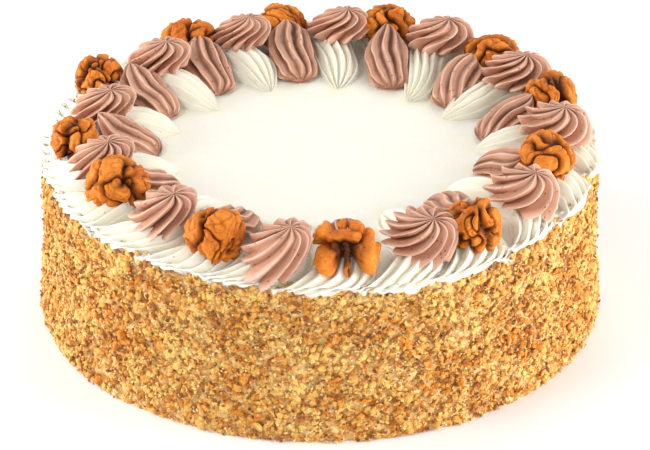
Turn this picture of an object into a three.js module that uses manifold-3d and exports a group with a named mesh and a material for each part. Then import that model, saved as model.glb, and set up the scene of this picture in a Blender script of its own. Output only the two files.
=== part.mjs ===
// A whole round nut cake: a drum coated with chopped nuts, a flat cream top, and a piped ring on its
// edge. The ring repeats twelve times a long white shell with a cocoa rosette on it, and a short white
// shell with a walnut half on it and a cocoa shell leaning against it from the inside.
//
// Millimetres, +Z up. The origin is the middle of the flat base. An azimuth is in degrees, 0 at the
// front (-Y) and growing towards +X. A radius is a distance from the cake's own axis.
import * as THREE from 'three';
import Module from 'manifold-3d';
import { mergeVertices } from 'three/addons/utils/BufferGeometryUtils.js';

// ---- driving dimensions -------------------------------------------------------------------------

const DRUM_HEIGHT = 79;
const DRUM_TOP_RADIUS = 129;
const DRUM_BASE_FLARE = 2.8;        // the nut coat is thicker towards the base
const DRUM_FLARE_HEIGHT = 55;
const CREAM_EDGE_RADIUS = 128.3;    // where the flat cream top ends under the piped ring

const NUT_COLUMNS = 128;            // facets of the nut coat, of the size of the coarser nut pieces
const NUT_ROWS = 10;
const NUT_RELIEF = 1.4;
const NUT_SCATTER = 0.3;            // how far a facet's corner strays, as a share of the spacing
const NUT_TOP = DRUM_HEIGHT - 5;

const RING_TOP = 102;               // highest point of the rosettes
const FIT_GAP = 0.3;                // clearance between pieces that touch
const BED = DRUM_HEIGHT + FIT_GAP;  // what lies on the cream top starts here

const JOINED_PAIR = 7;              // index of the one repeat whose two white shells run together
const GROOVE_COUNT = 5;             // grooves over the top of a piped shell
const WHITE_RIB_DEPTH = 0.24;
const WHITE_SIDE_GAP = 0.4;         // each white shell stays this far off the line to the next one
const COCOA_RIB_DEPTH = 0.16;
const SHELL_SWEEP = -7;             // how far a white shell's outer end turns, in degrees
const SWEEP_START = 104;            // radius where that turn starts
const WHITE_CREST = 90.6;           // highest line of a long white shell
const WHITE_CREST_RADIUS = 97;
const WHITE_CREST_FALL = 0.00021;
const WIDEST_HEM = 134.6;           // the ridge line is stated for a shell that reaches this far

const ROSETTE_RIBS = 12;
const ROSETTE_RIB_DEPTH = 0.2;
const ROSETTE_TWIST = 62;           // degrees from tip to skirt
const ROSETTE_LEAN = 5.5;           // the tip is pulled this far towards +X

const WALNUT_WIDTH = 29;
const WALNUT_DEPTH = 27;
const WALNUT_HEIGHT = 14.8;
const WALNUT_DETAIL = 2;            // subdivision of the walnut's surface
const WALNUT_LIFT = 0.3;            // its middle is this share of its height above the white shells
const WALNUT_PHASE = 1.7;           // makes the folds of each walnut differ
const WALNUT_BED_GAP = 0.6;         // clearance over the curved white shells
const WALNUT_SIDE_GAP = 1.8;         // clearance to the rosettes on both sides

// The twelve repeats, anticlockwise from the front, as they were set by hand: the rosette's azimuth,
// radius and diameter, the azimuth and radius of the long white shell's tail, the walnut's azimuth,
// radius and turn, and the azimuth and radius of the cocoa shell's inner end and of its tip.
const REPEATS = [
  { rosette: [-10, 116, 32], tail: [-8, 69], walnut: [6, 118, 0], cocoa: [8, 74, 7, 103] },
  { rosette: [24, 112, 34], tail: [25, 69], walnut: [37, 118, 25], cocoa: [42, 75, 38, 103] },
  { rosette: [56, 109, 33], tail: [57, 70], walnut: [73, 111, -30], cocoa: [73, 75, 71, 101] },
  { rosette: [91, 108, 35], tail: [90, 73], walnut: [105, 115, 40], cocoa: [100, 75, 104, 103] },
  { rosette: [121, 108, 34], tail: [118, 66], walnut: [133, 115, 0], cocoa: [129, 70, 133, 99] },
  { rosette: [149, 109, 34], tail: [139, 64], walnut: [163, 112, 15], cocoa: [154, 68, 162, 104] },
  { rosette: [176, 104, 32], tail: [172, 62], walnut: [190, 112, -10], cocoa: [188, 67, 189, 105] },
  { rosette: [203, 104, 30], tail: [202, 63], walnut: [214, 112, 10], cocoa: [218, 72, 214, 106] },
  { rosette: [229, 106, 33], tail: [231, 63], walnut: [243, 118, 20], cocoa: [244, 76, 238, 107] },
  { rosette: [257, 107, 33], tail: [256, 68], walnut: [274, 115, -20], cocoa: [271, 75, 266, 104] },
  { rosette: [285, 107, 33], tail: [288, 69], walnut: [301, 110, 35], cocoa: [301, 75, 300, 102] },
  { rosette: [319, 109, 31], tail: [320, 69], walnut: [335, 114, -5], cocoa: [334, 75, 334, 102] },
];

// The radii of the hems of the white shells of each repeat. At the front the hems hang over the rim;
// elsewhere they end on the top.
const LONG_SHELL_HEMS = [132, 134, 131, 124, 122, 122, 121, 121, 122, 122, 121, 129];
const SHORT_SHELL_HEMS = [133, 133, 131, 124, 124, 122, 122, 123, 125, 122, 121, 129];

const HEM_REST = 129.8;             // a hem within this radius lies on the top
const HEM_HANG = 0.94;              // one further out hangs lower by this share

// A hem that hangs over the rim: each rib ends in a scallop.
const HEM_HALF_WIDTH = 16;
const HEM_CORNER = { setback: 1.2, lift: 2 };     // the hem's two ends lie further in and higher
const HEM_GROOVE = { setback: 0.9, lift: 1.2 };   // so do its grooves
const HEM_INSIDE = { setback: 1.7, lift: 0.2 };

// Stations of a shell, from one end to the other: radius, or how far inside the hem; half width; and
// underside and top, or how far the top is below the ridge line.
const RESTING_HEM = { setback: 0, halfWidth: 13, under: BED, top: BED + 1.8 };
const SHELL_SHOULDER = [
  { setback: 2.4, halfWidth: 18.5, topDrop: 1 },
  { setback: 5, halfWidth: 21, topDrop: 0 },
];
const SHOULDER_CLEARANCE = 0.6;     // of the underside above what it hangs over
const LONG_SHELL_BODY = [
  { radius: 120, halfWidth: 18, under: BED },
  { radius: 108, halfWidth: 15, under: BED },
  { radius: 96, halfWidth: 12, under: BED },
  { radius: 85, halfWidth: 9, under: BED, top: 88.6 },
];
const LONG_SHELL_NECK = { beforeTail: 8, halfWidth: 4.6, under: BED, top: 84.8 };
const SHORT_SHELL_BODY = [
  { radius: 119, halfWidth: 18, under: BED },
  { radius: 108, halfWidth: 13, under: BED },
];
const LEAST_STEP = 2.5;             // least distance between two stations
const SHORT_SHELL_TAIL_RADIUS = 98.5;
const TAIL_TIP_HEIGHT = 1.2;

const COCOA_HALF_WIDTH = 11;
const COCOA_SHELL_BODY = [            // share of the way from the inner end to the tip
  { share: 0, halfWidth: 0.5, under: BED + 0.7, top: 82.5 },
  { share: 0.1, halfWidth: 0.88, under: BED, top: 85.7 },
  { share: 0.3, halfWidth: 1, under: BED, top: 90.2 },
  { share: 0.54, halfWidth: 0.9, under: BED + 0.8, top: 93.8 },
  { share: 0.77, halfWidth: 0.6, under: BED + 5.5, top: 95.8 },
];
const COCOA_TIP_HEIGHT = 95.8;

// Rows of a rosette, from its skirt to its tip: share of the height and share of the radius.
const ROSETTE_ROWS = [
  [0, 0.9],
  [0.2, 1],
  [0.47, 0.84],
  [0.72, 0.54],
  [0.9, 0.24],
];
const ROSETTE_HOLLOW = 3.2;         // the underside is this much higher in its middle
const ROSETTE_BED_GAP = 0.6;        // clearance over the white shell

// ---- small helpers ------------------------------------------------------------------------------

const wasm = await Module();
wasm.setup();

const radians = THREE.MathUtils.degToRad;
const UP = new THREE.Vector3(0, 0, 1);
const ACROSS = new THREE.Vector3(1, 0, 0);

/** A point from its azimuth in degrees, its radius and its height. */
function polar(azimuth, radius, height) {
  const angle = radians(azimuth);
  return new THREE.Vector3(radius * Math.sin(angle), -radius * Math.cos(angle), height);
}

/** A repeatable stream of numbers from 0 to 1. */
function seeded(seed) {
  let state = seed;
  return () => {
    state = (state * 48271) % 2147483647;
    return state / 2147483647;
  };
}

/** A closed skin over rings of points; each end is drawn together in one point. */
function skin(rings, startPoint, endPoint) {
  const count = rings[0].length;
  const points = [startPoint, ...rings.flat(), endPoint];
  const at = (ring, k) => 1 + ring * count + (k % count);
  const faces = [];
  for (let k = 0; k < count; k++) {
    faces.push(0, at(0, k + 1), at(0, k));
    for (let ring = 0; ring + 1 < rings.length; ring++) {
      faces.push(at(ring, k), at(ring, k + 1), at(ring + 1, k));
      faces.push(at(ring, k + 1), at(ring + 1, k + 1), at(ring + 1, k));
    }
    faces.push(at(rings.length - 1, k), at(rings.length - 1, k + 1), points.length - 1);
  }
  const geometry = new THREE.BufferGeometry().setFromPoints(points);
  geometry.setIndex(faces);
  return geometry;
}

/** A closed geometry as a solid for cutting and joining. */
function solidOf(geometry) {
  const bare = geometry.clone();
  bare.deleteAttribute('normal');
  bare.deleteAttribute('uv');
  const merged = mergeVertices(bare, 1e-4);
  const mesh = new wasm.Mesh({
    numProp: 3,
    vertProperties: new Float32Array(merged.getAttribute('position').array),
    triVerts: new Uint32Array(merged.getIndex().array),
  });
  return new wasm.Manifold(mesh);
}

/** The main body of a solid, without any crumb or pinhole that a cut or a join leaves. */
function mainBody(solid) {
  return solid.decompose().reduce((main, body) => (body.volume() > main.volume() ? body : main));
}

/** A solid as a geometry. */
function geometryOf(solid) {
  const mesh = solid.getMesh();
  const geometry = new THREE.BufferGeometry();
  geometry.setAttribute('position', new THREE.BufferAttribute(mesh.vertProperties, 3));
  geometry.setIndex(new THREE.BufferAttribute(mesh.triVerts, 1));
  return geometry;
}

/** The index of a repeat some places further round. */
function along(index, step) {
  return (index + step + REPEATS.length) % REPEATS.length;
}

/** What is left of a solid clear of its neighbours. */
function clearOf(solid, neighbours) {
  return mainBody(neighbours.reduce((rest, neighbour) => rest.subtract(neighbour), solid));
}

// ---- the drum -----------------------------------------------------------------------------------

/** Radius of the nut coat at a height, before its relief. */
function coatRadius(height) {
  const rise = THREE.MathUtils.smoothstep(height, 0, DRUM_FLARE_HEIGHT);
  return DRUM_TOP_RADIUS + DRUM_BASE_FLARE * (1 - rise);
}

/** The cake itself, with the relief of the chopped nuts on its side. */
function drum() {
  const random = seeded(7001);
  const stray = () => (random() * 2 - 1);
  const columnStep = 360 / NUT_COLUMNS;
  const rowStep = NUT_TOP / NUT_ROWS;
  const rings = [];
  for (let row = 0; row <= NUT_ROWS; row++) {
    const ring = [];
    const atBase = row === 0;
    for (let column = 0; column < NUT_COLUMNS; column++) {
      const azimuth = (column + (row % 2) / 2 + NUT_SCATTER * stray()) * columnStep;
      const height = atBase ? 0 : (row + NUT_SCATTER * stray() * (row < NUT_ROWS ? 1 : 0)) * rowStep;
      const radius = coatRadius(height) + NUT_RELIEF * stray() - (atBase ? NUT_RELIEF : 0);
      ring.push(polar(azimuth, radius, height));
    }
    rings.push(ring);
  }
  const edge = [];
  for (let column = 0; column < NUT_COLUMNS; column++) {
    edge.push(polar((column + (NUT_ROWS + 1) % 2 / 2) * columnStep, CREAM_EDGE_RADIUS, DRUM_HEIGHT));
  }
  rings.push(edge);
  return skin(rings, new THREE.Vector3(0, 0, 0), new THREE.Vector3(0, 0, DRUM_HEIGHT));
}

// ---- piped shells -------------------------------------------------------------------------------

/** Height of a white shell's ridge at a radius. It falls towards the hem. */
function whiteCrest(radius, hem) {
  const share = radius + WIDEST_HEM - hem;
  return WHITE_CREST - WHITE_CREST_FALL * Math.max(share - WHITE_CREST_RADIUS, 0) ** 3;
}

/** Height of the underside at a radius near the rim: on the top, or hanging over it. */
function hangAt(radius) {
  return BED - HEM_HANG * Math.max(radius - HEM_REST, 0);
}

/** Height on which a topping lies at a radius: the white shell's ridge, or what the hem lies on. */
function bedAt(radius, hem) {
  return Math.max(whiteCrest(radius, hem), hangAt(radius));
}

/** The scalloped line in which the ribs of a white shell end. */
function hemRing({ hem, azimuthAt, limitAt, ribDepth, grow }) {
  const steps = sectionSteps(ribDepth);
  const ring = [];
  for (let k = 0; k <= steps; k++) {
    const turn = Math.PI * (1 - k / steps);
    const corner = Math.cos(turn) ** 2;
    const groove = ribDepth && k % 2 ? 1 : 0;
    const radius = hem + grow - HEM_CORNER.setback * corner - HEM_GROOVE.setback * groove;
    const height = hangAt(hem) - grow + HEM_CORNER.lift * corner + HEM_GROOVE.lift * groove;
    const across = (HEM_HALF_WIDTH + grow) * Math.cos(turn);
    const azimuth = azimuthAt(radius) + THREE.MathUtils.radToDeg(across / radius);
    ring.push(polar(THREE.MathUtils.clamp(azimuth, ...limitAt(radius, grow)), radius, height));
  }
  return ring;
}

/** Number of steps across a section: one for each rib and groove, or a few for a plain one. */
function sectionSteps(ribDepth) {
  return ribDepth ? GROOVE_COUNT * 2 : GROOVE_COUNT + 1;
}

/**
 * A piped shell: half a star swept along a spine.
 * @param stations radius, halfWidth, under and top of each section, in order
 * @param azimuthAt azimuth of the spine at a radius
 * @param limitAt least and greatest azimuth that the shell may reach, or null
 * @param tip last point of the shell
 * @param hem radius of the hem in which the first end spreads out, or null
 * @param ribDepth depth of the grooves as a share of the section, or 0 for a plain round section
 * @param grow how far the plain section stands off, for cutting a neighbour
 */
function shell({ stations, azimuthAt, limitAt = null, tip, hem = null, ribDepth, grow = 0 }) {
  const steps = sectionSteps(ribDepth);
  const drawnInwards = tip.radius < stations[0].radius;
  const rings = stations.map(({ radius, halfWidth, under, top }) => {
    const middle = azimuthAt(radius);
    const ring = [];
    for (let k = 0; k <= steps; k++) {
      const turn = Math.PI * (drawnInwards ? 1 - k / steps : k / steps);
      const reach = ribDepth && k % 2 ? 1 - ribDepth : 1;
      const across = (halfWidth + grow) * Math.cos(turn) * reach;
      let azimuth = middle + THREE.MathUtils.radToDeg(across / radius);
      if (limitAt) {
        azimuth = THREE.MathUtils.clamp(azimuth, ...limitAt(radius, grow));
      }
      const height = under - grow + (top - under + 2 * grow) * Math.sin(turn) * reach;
      ring.push(polar(azimuth, radius, height));
    }
    return ring;
  });
  const last = polar(azimuthAt(tip.radius), tip.radius, tip.height);
  if (hem && hangs(hem)) {
    const inner = hem - HEM_INSIDE.setback;
    const inside = polar(azimuthAt(inner), inner, hangAt(inner) + HEM_INSIDE.lift);
    return skin([hemRing({ hem, azimuthAt, limitAt, ribDepth, grow }), ...rings], inside, last);
  }
  const first = stations[0];
  return skin(rings, polar(azimuthAt(first.radius), first.radius, (first.under + first.top) / 2), last);
}

/** True for a hem that hangs over the rim, false for one that lies on the top. */
function hangs(hem) {
  return hem > HEM_REST;
}

/** The stations of a white shell: its shoulder behind the hem, and the body stations inside that. */
function whiteStations(hem, body) {
  const shoulder = SHELL_SHOULDER.map(({ setback, halfWidth, topDrop }) => {
    const radius = hem - setback;
    const under = Math.min(hangAt(radius) + SHOULDER_CLEARANCE, BED);
    return { radius, halfWidth, under, top: whiteCrest(radius, hem) - topDrop };
  });
  const inside = body.filter(({ radius }) => radius < shoulder.at(-1).radius - LEAST_STEP);
  return [
    ...(hangs(hem) ? [] : [{ ...RESTING_HEM, radius: hem }]),
    ...shoulder,
    ...inside.map((station) => ({ top: whiteCrest(station.radius, hem), ...station })),
  ];
}

/** Turn of a white shell's outer part at a radius. */
function sweepAt(radius) {
  return SHELL_SWEEP * THREE.MathUtils.smoothstep(radius, SWEEP_START, WIDEST_HEM);
}

/** The long white shell under a rosette: a ribbed fan at the rim that draws out to a tail inside. */
function longShell(index, ribDepth = WHITE_RIB_DEPTH, grow = 0) {
  const { rosette: [azimuth], tail: [tailAzimuth, tailRadius] } = REPEATS[index];
  const hem = LONG_SHELL_HEMS[index];
  const neck = { ...LONG_SHELL_NECK, radius: tailRadius + LONG_SHELL_NECK.beforeTail };
  const stations = whiteStations(hem, [...LONG_SHELL_BODY, neck]);
  const azimuthAt = (radius) => {
    const inward = THREE.MathUtils.smoothstep(SWEEP_START - radius, 0, SWEEP_START - tailRadius);
    return azimuth + (tailAzimuth - azimuth) * inward + sweepAt(radius);
  };
  const tip = { radius: tailRadius, height: BED + TAIL_TIP_HEIGHT };
  return shell({ stations, azimuthAt, limitAt: wedgeOf(2 * index), tip, hem, ribDepth, grow });
}

/** The short white shell under a walnut half. */
function shortShell(index, ribDepth = WHITE_RIB_DEPTH, grow = 0) {
  const [azimuth] = REPEATS[index].walnut;
  const hem = SHORT_SHELL_HEMS[index];
  const stations = whiteStations(hem, SHORT_SHELL_BODY);
  const azimuthAt = (radius) => azimuth + sweepAt(radius);
  const tip = { radius: SHORT_SHELL_TAIL_RADIUS, height: BED + TAIL_TIP_HEIGHT };
  const limitAt = wedgeOf(2 * index + 1);
  return shell({ stations, azimuthAt, limitAt, tip, hem, ribDepth, grow });
}

/** Azimuths of the twenty-four white shells, in order round the rim. */
function whiteAzimuths() {
  return REPEATS.flatMap(({ rosette, walnut }) => [rosette[0], walnut[0]]);
}

/**
 * The wedge of the rim that a white shell keeps to, as a function of radius. Inside the short shells'
 * tails there is room for all, and the two shells of the joined pair run freely into each other.
 */
function wedgeOf(place) {
  const azimuths = whiteAzimuths();
  const count = azimuths.length;
  const own = azimuths[place];
  const before = azimuths[(place + count - 1) % count] - (place === 0 ? 360 : 0);
  const after = azimuths[(place + 1) % count] + (place === count - 1 ? 360 : 0);
  const joinsBefore = place === 2 * JOINED_PAIR + 1;
  const joinsAfter = place === 2 * JOINED_PAIR;
  return (radius, grow) => {
    if (radius < SHORT_SHELL_TAIL_RADIUS) {
      return [own - 90, own + 90];
    }
    const margin = THREE.MathUtils.radToDeg((WHITE_SIDE_GAP - grow) / radius);
    const least = joinsBefore ? before : (own + before) / 2 + margin;
    const most = joinsAfter ? after : (own + after) / 2 - margin;
    return [least + sweepAt(radius), most + sweepAt(radius)];
  };
}

/** The cocoa shell that leans outwards against a walnut half. */
function cocoaShell(index, ribDepth = COCOA_RIB_DEPTH, grow = 0) {
  const [innerAzimuth, innerRadius, tipAzimuth, tipRadius] = REPEATS[index].cocoa;
  const length = tipRadius - innerRadius;
  const stations = COCOA_SHELL_BODY.map(({ share, halfWidth, ...levels }) => (
    { radius: innerRadius + share * length, halfWidth: halfWidth * COCOA_HALF_WIDTH, ...levels }
  ));
  const azimuthAt = (radius) => {
    const outward = (radius - innerRadius) / length;
    return innerAzimuth + (tipAzimuth - innerAzimuth) * outward;
  };
  const tip = { radius: tipRadius, height: COCOA_TIP_HEIGHT };
  return shell({ stations, azimuthAt, tip, ribDepth, grow });
}

// ---- rosettes -----------------------------------------------------------------------------------

/** A cocoa rosette: a twisted star drawn up to a tip that leans towards +X. */
function rosette(index, ribDepth = ROSETTE_RIB_DEPTH, grow = 0) {
  const [azimuth, radius, diameter] = REPEATS[index].rosette;
  const hem = Math.max(LONG_SHELL_HEMS[index], SHORT_SHELL_HEMS[index], SHORT_SHELL_HEMS[along(index, -1)]);
  const centre = polar(azimuth, radius, 0);
  const points = ROSETTE_RIBS * 2;
  const top = RING_TOP + grow;
  const placed = (share, reach, turn) => {
    const across = (diameter / 2 * reach + grow);
    const lean = ROSETTE_LEAN * share;
    const x = centre.x + across * Math.cos(turn) + lean;
    const y = centre.y + across * Math.sin(turn);
    const bed = bedAt(Math.hypot(x - lean, y), hem) + ROSETTE_BED_GAP - grow;
    return new THREE.Vector3(x, y, bed + (top - bed) * share);
  };
  const rings = ROSETTE_ROWS.map(([share, reach]) => {
    const ring = [];
    const twist = radians(ROSETTE_TWIST) * (1 - reach * (1 - share * 0.3));
    for (let k = 0; k < points; k++) {
      const groove = ribDepth && k % 2 ? 1 - ribDepth * (1 - share * 0.4) : 1;
      ring.push(placed(share, reach * groove, 2 * Math.PI * k / points + twist));
    }
    return ring;
  });
  const under = placed(0, 0, 0);
  under.z += ROSETTE_HOLLOW * (grow ? 0 : 1);
  return skin(rings, under, placed(1, 0, 0));
}

// ---- walnut halves ------------------------------------------------------------------------------

/** How far the surface of a walnut half stands out in a direction: two lobed sides and a cleft. */
function walnutSwell({ x, y, z }, phase) {
  const cleft = Math.exp(-((x / 0.22) ** 2)) * (z > -0.3 ? 1 : 0.2);
  const side = x > 0 ? 0 : 1.3;
  const lobes = Math.cos(7.2 * y + side + phase) * Math.min(1, 2.5 * Math.abs(x));
  const folds = Math.sin(6.5 * x + phase) * Math.sin(5.5 * y - phase + 2 * z);
  return 0.95 - 0.27 * cleft + 0.12 * lobes + 0.08 * folds;
}

/** Moves a point sideways out of a rosette's space. */
function pushFromRosette(point, index) {
  const [azimuth, radius, diameter] = REPEATS[index].rosette;
  const centre = polar(azimuth, radius, 0);
  const share = THREE.MathUtils.clamp((point.z - WHITE_CREST) / (RING_TOP - WHITE_CREST), 0, 1);
  centre.x += ROSETTE_LEAN * share;
  const keepOut = diameter / 2 * (1 - 0.75 * share) + WALNUT_SIDE_GAP;
  const away = new THREE.Vector2(point.x - centre.x, point.y - centre.y);
  if (away.length() < keepOut) {
    away.setLength(keepOut);
    point.set(centre.x + away.x, centre.y + away.y, point.z);
  }
}

/** A walnut half that lies on its short white shell, tilted with the rim. */
function walnutHalf(index) {
  const [azimuth, radius, turn] = REPEATS[index].walnut;
  const hem = Math.max(SHORT_SHELL_HEMS[index], LONG_SHELL_HEMS[index], LONG_SHELL_HEMS[along(index, 1)]);
  const slope = (whiteCrest(radius + 1, hem) - whiteCrest(radius - 1, hem)) / 2;
  const place = polar(azimuth, radius, whiteCrest(radius, hem) + WALNUT_HEIGHT * WALNUT_LIFT);
  const geometry = new THREE.IcosahedronGeometry(1, WALNUT_DETAIL);
  const position = geometry.getAttribute('position');
  const point = new THREE.Vector3();
  for (let k = 0; k < position.count; k++) {
    point.fromBufferAttribute(position, k);
    point.multiplyScalar(walnutSwell(point, index * WALNUT_PHASE));
    point.multiply(new THREE.Vector3(WALNUT_WIDTH / 2, WALNUT_DEPTH / 2, WALNUT_HEIGHT / 2));
    point.applyAxisAngle(UP, radians(turn));
    point.applyAxisAngle(ACROSS, -Math.atan(slope));
    point.applyAxisAngle(UP, radians(azimuth));
    point.add(place);
    pushFromRosette(point, index);
    pushFromRosette(point, along(index, 1));
    const bed = bedAt(Math.hypot(point.x, point.y), hem);
    position.setXYZ(k, point.x, point.y, Math.max(point.z, bed + WALNUT_BED_GAP));
  }
  return geometry;
}

// ---- the whole cake -----------------------------------------------------------------------------

const NUT_COAT = new THREE.MeshStandardMaterial({ color: 0xd9a95c, roughness: 0.85, metalness: 0 });
const WHITE_CREAM = new THREE.MeshStandardMaterial({ color: 0xf7f1de, roughness: 0.5, metalness: 0 });
const COCOA_CREAM = new THREE.MeshStandardMaterial({ color: 0xa98070, roughness: 0.55, metalness: 0 });
const WALNUT_SKIN = new THREE.MeshStandardMaterial({ color: 0xb5712f, roughness: 0.6, metalness: 0 });

const PLAIN = 0;                    // rib depth of the shapes that only cut their neighbours
const CUT_CLEARANCE = 0.8;          // round a plain shell, which has few sides
const ROUND_CLEARANCE = 0.5;        // round a plain rosette, which has many

const cake = new THREE.Group();

/** Adds one named piece. */
function add(name, geometry, material) {
  const mesh = new THREE.Mesh(geometry, material);
  mesh.name = name;
  cake.add(mesh);
}

add('cake_drum', drum(), NUT_COAT);
REPEATS.forEach((_, index) => {
  const number = String(index + 1).padStart(2, '0');
  const around = [index, along(index, 1)];
  const rosettes = around.map((k) => solidOf(rosette(k, PLAIN, ROUND_CLEARANCE)));
  const whites = [
    ...around.map((k) => solidOf(longShell(k, PLAIN, CUT_CLEARANCE))),
    solidOf(shortShell(index, PLAIN, CUT_CLEARANCE)),
  ];
  const cocoa = clearOf(solidOf(cocoaShell(index)), [...rosettes, ...whites]);
  const cocoaSpace = solidOf(cocoaShell(index, PLAIN, CUT_CLEARANCE));
  const walnut = clearOf(solidOf(walnutHalf(index)), [...rosettes, cocoaSpace]);
  if (index === JOINED_PAIR) {
    const pair = mainBody(solidOf(longShell(index)).add(solidOf(shortShell(index))));
    add(`white_shell_pair_${number}`, geometryOf(pair), WHITE_CREAM);
  } else {
    add(`white_long_shell_${number}`, longShell(index), WHITE_CREAM);
    add(`white_short_shell_${number}`, shortShell(index), WHITE_CREAM);
  }
  add(`cocoa_rosette_${number}`, rosette(index), COCOA_CREAM);
  add(`cocoa_shell_${number}`, geometryOf(cocoa), COCOA_CREAM);
  add(`walnut_half_${number}`, geometryOf(walnut), WALNUT_SKIN);
});

export default cake;
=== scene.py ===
"""Nut cake: a round cream cake with a chopped-nut coat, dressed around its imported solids.

Lengths inside the builders are millimetres and become metres when a mesh is finished. An azimuth is in
degrees, 0 at the front of the cake and growing towards +X.
"""

import logging
import math
from dataclasses import dataclass
from enum import Enum
from typing import Callable, Sequence

import bmesh
import bpy
import numpy as np
from mathutils.kdtree import KDTree
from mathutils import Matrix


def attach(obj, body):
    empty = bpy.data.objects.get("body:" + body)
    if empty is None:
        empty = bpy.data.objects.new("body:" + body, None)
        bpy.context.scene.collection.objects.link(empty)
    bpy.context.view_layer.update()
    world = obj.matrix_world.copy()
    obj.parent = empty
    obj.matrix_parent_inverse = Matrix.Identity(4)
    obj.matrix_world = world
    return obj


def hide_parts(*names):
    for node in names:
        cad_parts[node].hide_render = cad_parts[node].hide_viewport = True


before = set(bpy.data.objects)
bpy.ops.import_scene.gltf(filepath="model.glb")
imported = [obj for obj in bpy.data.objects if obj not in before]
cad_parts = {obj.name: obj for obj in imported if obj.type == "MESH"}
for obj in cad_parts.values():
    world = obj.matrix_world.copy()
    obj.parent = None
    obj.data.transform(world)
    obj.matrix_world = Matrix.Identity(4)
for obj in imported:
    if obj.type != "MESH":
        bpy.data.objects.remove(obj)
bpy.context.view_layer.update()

LOG = logging.getLogger("nut_cake")
MM = 0.001
BODY = "root"
SAME_RADIUS = 1.2
Move = Callable[[np.ndarray], np.ndarray]


# ---------------------------------------------------------------- numbers and places


def polar(azimuth: np.ndarray | float, radius: np.ndarray | float) -> tuple:
    """Turns an azimuth in degrees and a radius into x and y.

    Args:
        azimuth: Degrees from the front of the cake, growing towards +X.
        radius: Distance from the cake's axis.

    Returns:
        The pair x, y in the radius's unit.
    """
    angle = np.radians(azimuth)
    return radius * np.sin(angle), -radius * np.cos(angle)


def eased(low: float, high: float, value: np.ndarray) -> np.ndarray:
    """A smooth step from 0 at low to 1 at high."""
    share = np.clip((value - low) / (high - low), 0.0, 1.0)
    return share * share * (3.0 - 2.0 * share)


def nearest_turn(azimuth: np.ndarray, about: float) -> np.ndarray:
    """The same azimuths within half a turn of another one."""
    return about + (azimuth - about + 180.0) % 360.0 - 180.0


def through(stations: np.ndarray, share: np.ndarray) -> np.ndarray:
    """A smooth curve through rows of numbers.

    Args:
        stations: One row for each station, in order.
        share: Places along the rows, 0 at the first and 1 at the last.

    Returns:
        One row for each place.
    """
    last = len(stations) - 1
    place = np.clip(share, 0.0, 1.0) * last
    start = np.minimum(place.astype(int), last - 1)
    local = (place - start)[:, None]
    before = stations[np.maximum(start - 1, 0)]
    here = stations[start]
    there = stations[start + 1]
    after = stations[np.minimum(start + 2, last)]
    square = local * local
    cube = square * local
    return 0.5 * (
        2.0 * here
        + (there - before) * local
        + (2.0 * before - 5.0 * here + 4.0 * there - after) * square
        + (3.0 * here - before - 3.0 * there + after) * cube
    )


@dataclass(frozen=True)
class Undulation:
    """A smooth wandering field, a sum of plane waves of many directions.

    Attributes:
        seed: Start of the random draw.
        wavelength: Middle wavelength in millimetres.
        waves: How many waves are summed.
    """

    seed: int
    wavelength: float
    waves: int = 18

    def at(self, points: np.ndarray) -> np.ndarray:
        """The field at some points, mostly between -1 and 1.

        Args:
            points: One row of x, y, z in millimetres for each point.

        Returns:
            One number for each point.
        """
        draw = np.random.default_rng(self.seed)
        heading = draw.normal(size=(self.waves, 3))
        heading /= np.linalg.norm(heading, axis=1, keepdims=True)
        length = self.wavelength * draw.uniform(0.6, 1.7, self.waves)
        phase = draw.uniform(0.0, 2.0 * np.pi, self.waves)
        turns = points @ (heading * (2.0 * np.pi / length)[:, None]).T + phase
        return np.sin(turns).sum(axis=1) / math.sqrt(self.waves)


def corners_of(mesh: bpy.types.Mesh) -> np.ndarray:
    """Reads the points of a mesh, one row for each."""
    flat = np.empty(len(mesh.vertices) * 3)
    mesh.vertices.foreach_get("co", flat)
    return flat.reshape(-1, 3)


@dataclass(frozen=True)
class NodePoints:
    """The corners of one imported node, in millimetres.

    Attributes:
        xyz: One row for each corner.
    """

    xyz: np.ndarray

    @classmethod
    def of(cls, node: str) -> "NodePoints":
        """Reads a node's corners from the frame."""
        return cls.of_piece(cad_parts[node])

    @classmethod
    def of_piece(cls, piece: bpy.types.Object) -> "NodePoints":
        """Reads an object's corners."""
        return cls(corners_of(piece.data) / MM)

    def turned(self, degrees: float) -> "NodePoints":
        """The corners turned about the cake's axis."""
        x, y = polar(self.azimuth + degrees, self.radius)
        return NodePoints(np.column_stack((x, y, self.xyz[:, 2])))

    @property
    def radius(self) -> np.ndarray:
        """Each corner's distance from the cake's axis."""
        return np.hypot(self.xyz[:, 0], self.xyz[:, 1])

    @property
    def azimuth(self) -> np.ndarray:
        """Each corner's azimuth in degrees."""
        return np.degrees(np.arctan2(self.xyz[:, 0], -self.xyz[:, 1]))

    @property
    def low(self) -> np.ndarray:
        """Lowest corner of the box."""
        return self.xyz.min(axis=0)

    @property
    def high(self) -> np.ndarray:
        """Highest corner of the box."""
        return self.xyz.max(axis=0)

    @property
    def top(self) -> np.ndarray:
        """The highest of the corners."""
        return self.xyz[self.xyz[:, 2].argmax()]

    def middle_azimuth(self, radius: float, about: float) -> float:
        """The azimuth half-way across the node at one radius.

        Args:
            radius: Where to look.
            about: An azimuth near the answer.

        Returns:
            The middle of the corners nearest to that radius.
        """
        distance = np.abs(self.radius - radius)
        near = distance < distance.min() + SAME_RADIUS
        azimuth = nearest_turn(self.azimuth[near], about)
        return 0.5 * (azimuth.min() + azimuth.max())


# ---------------------------------------------------------------- meshes


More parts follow.
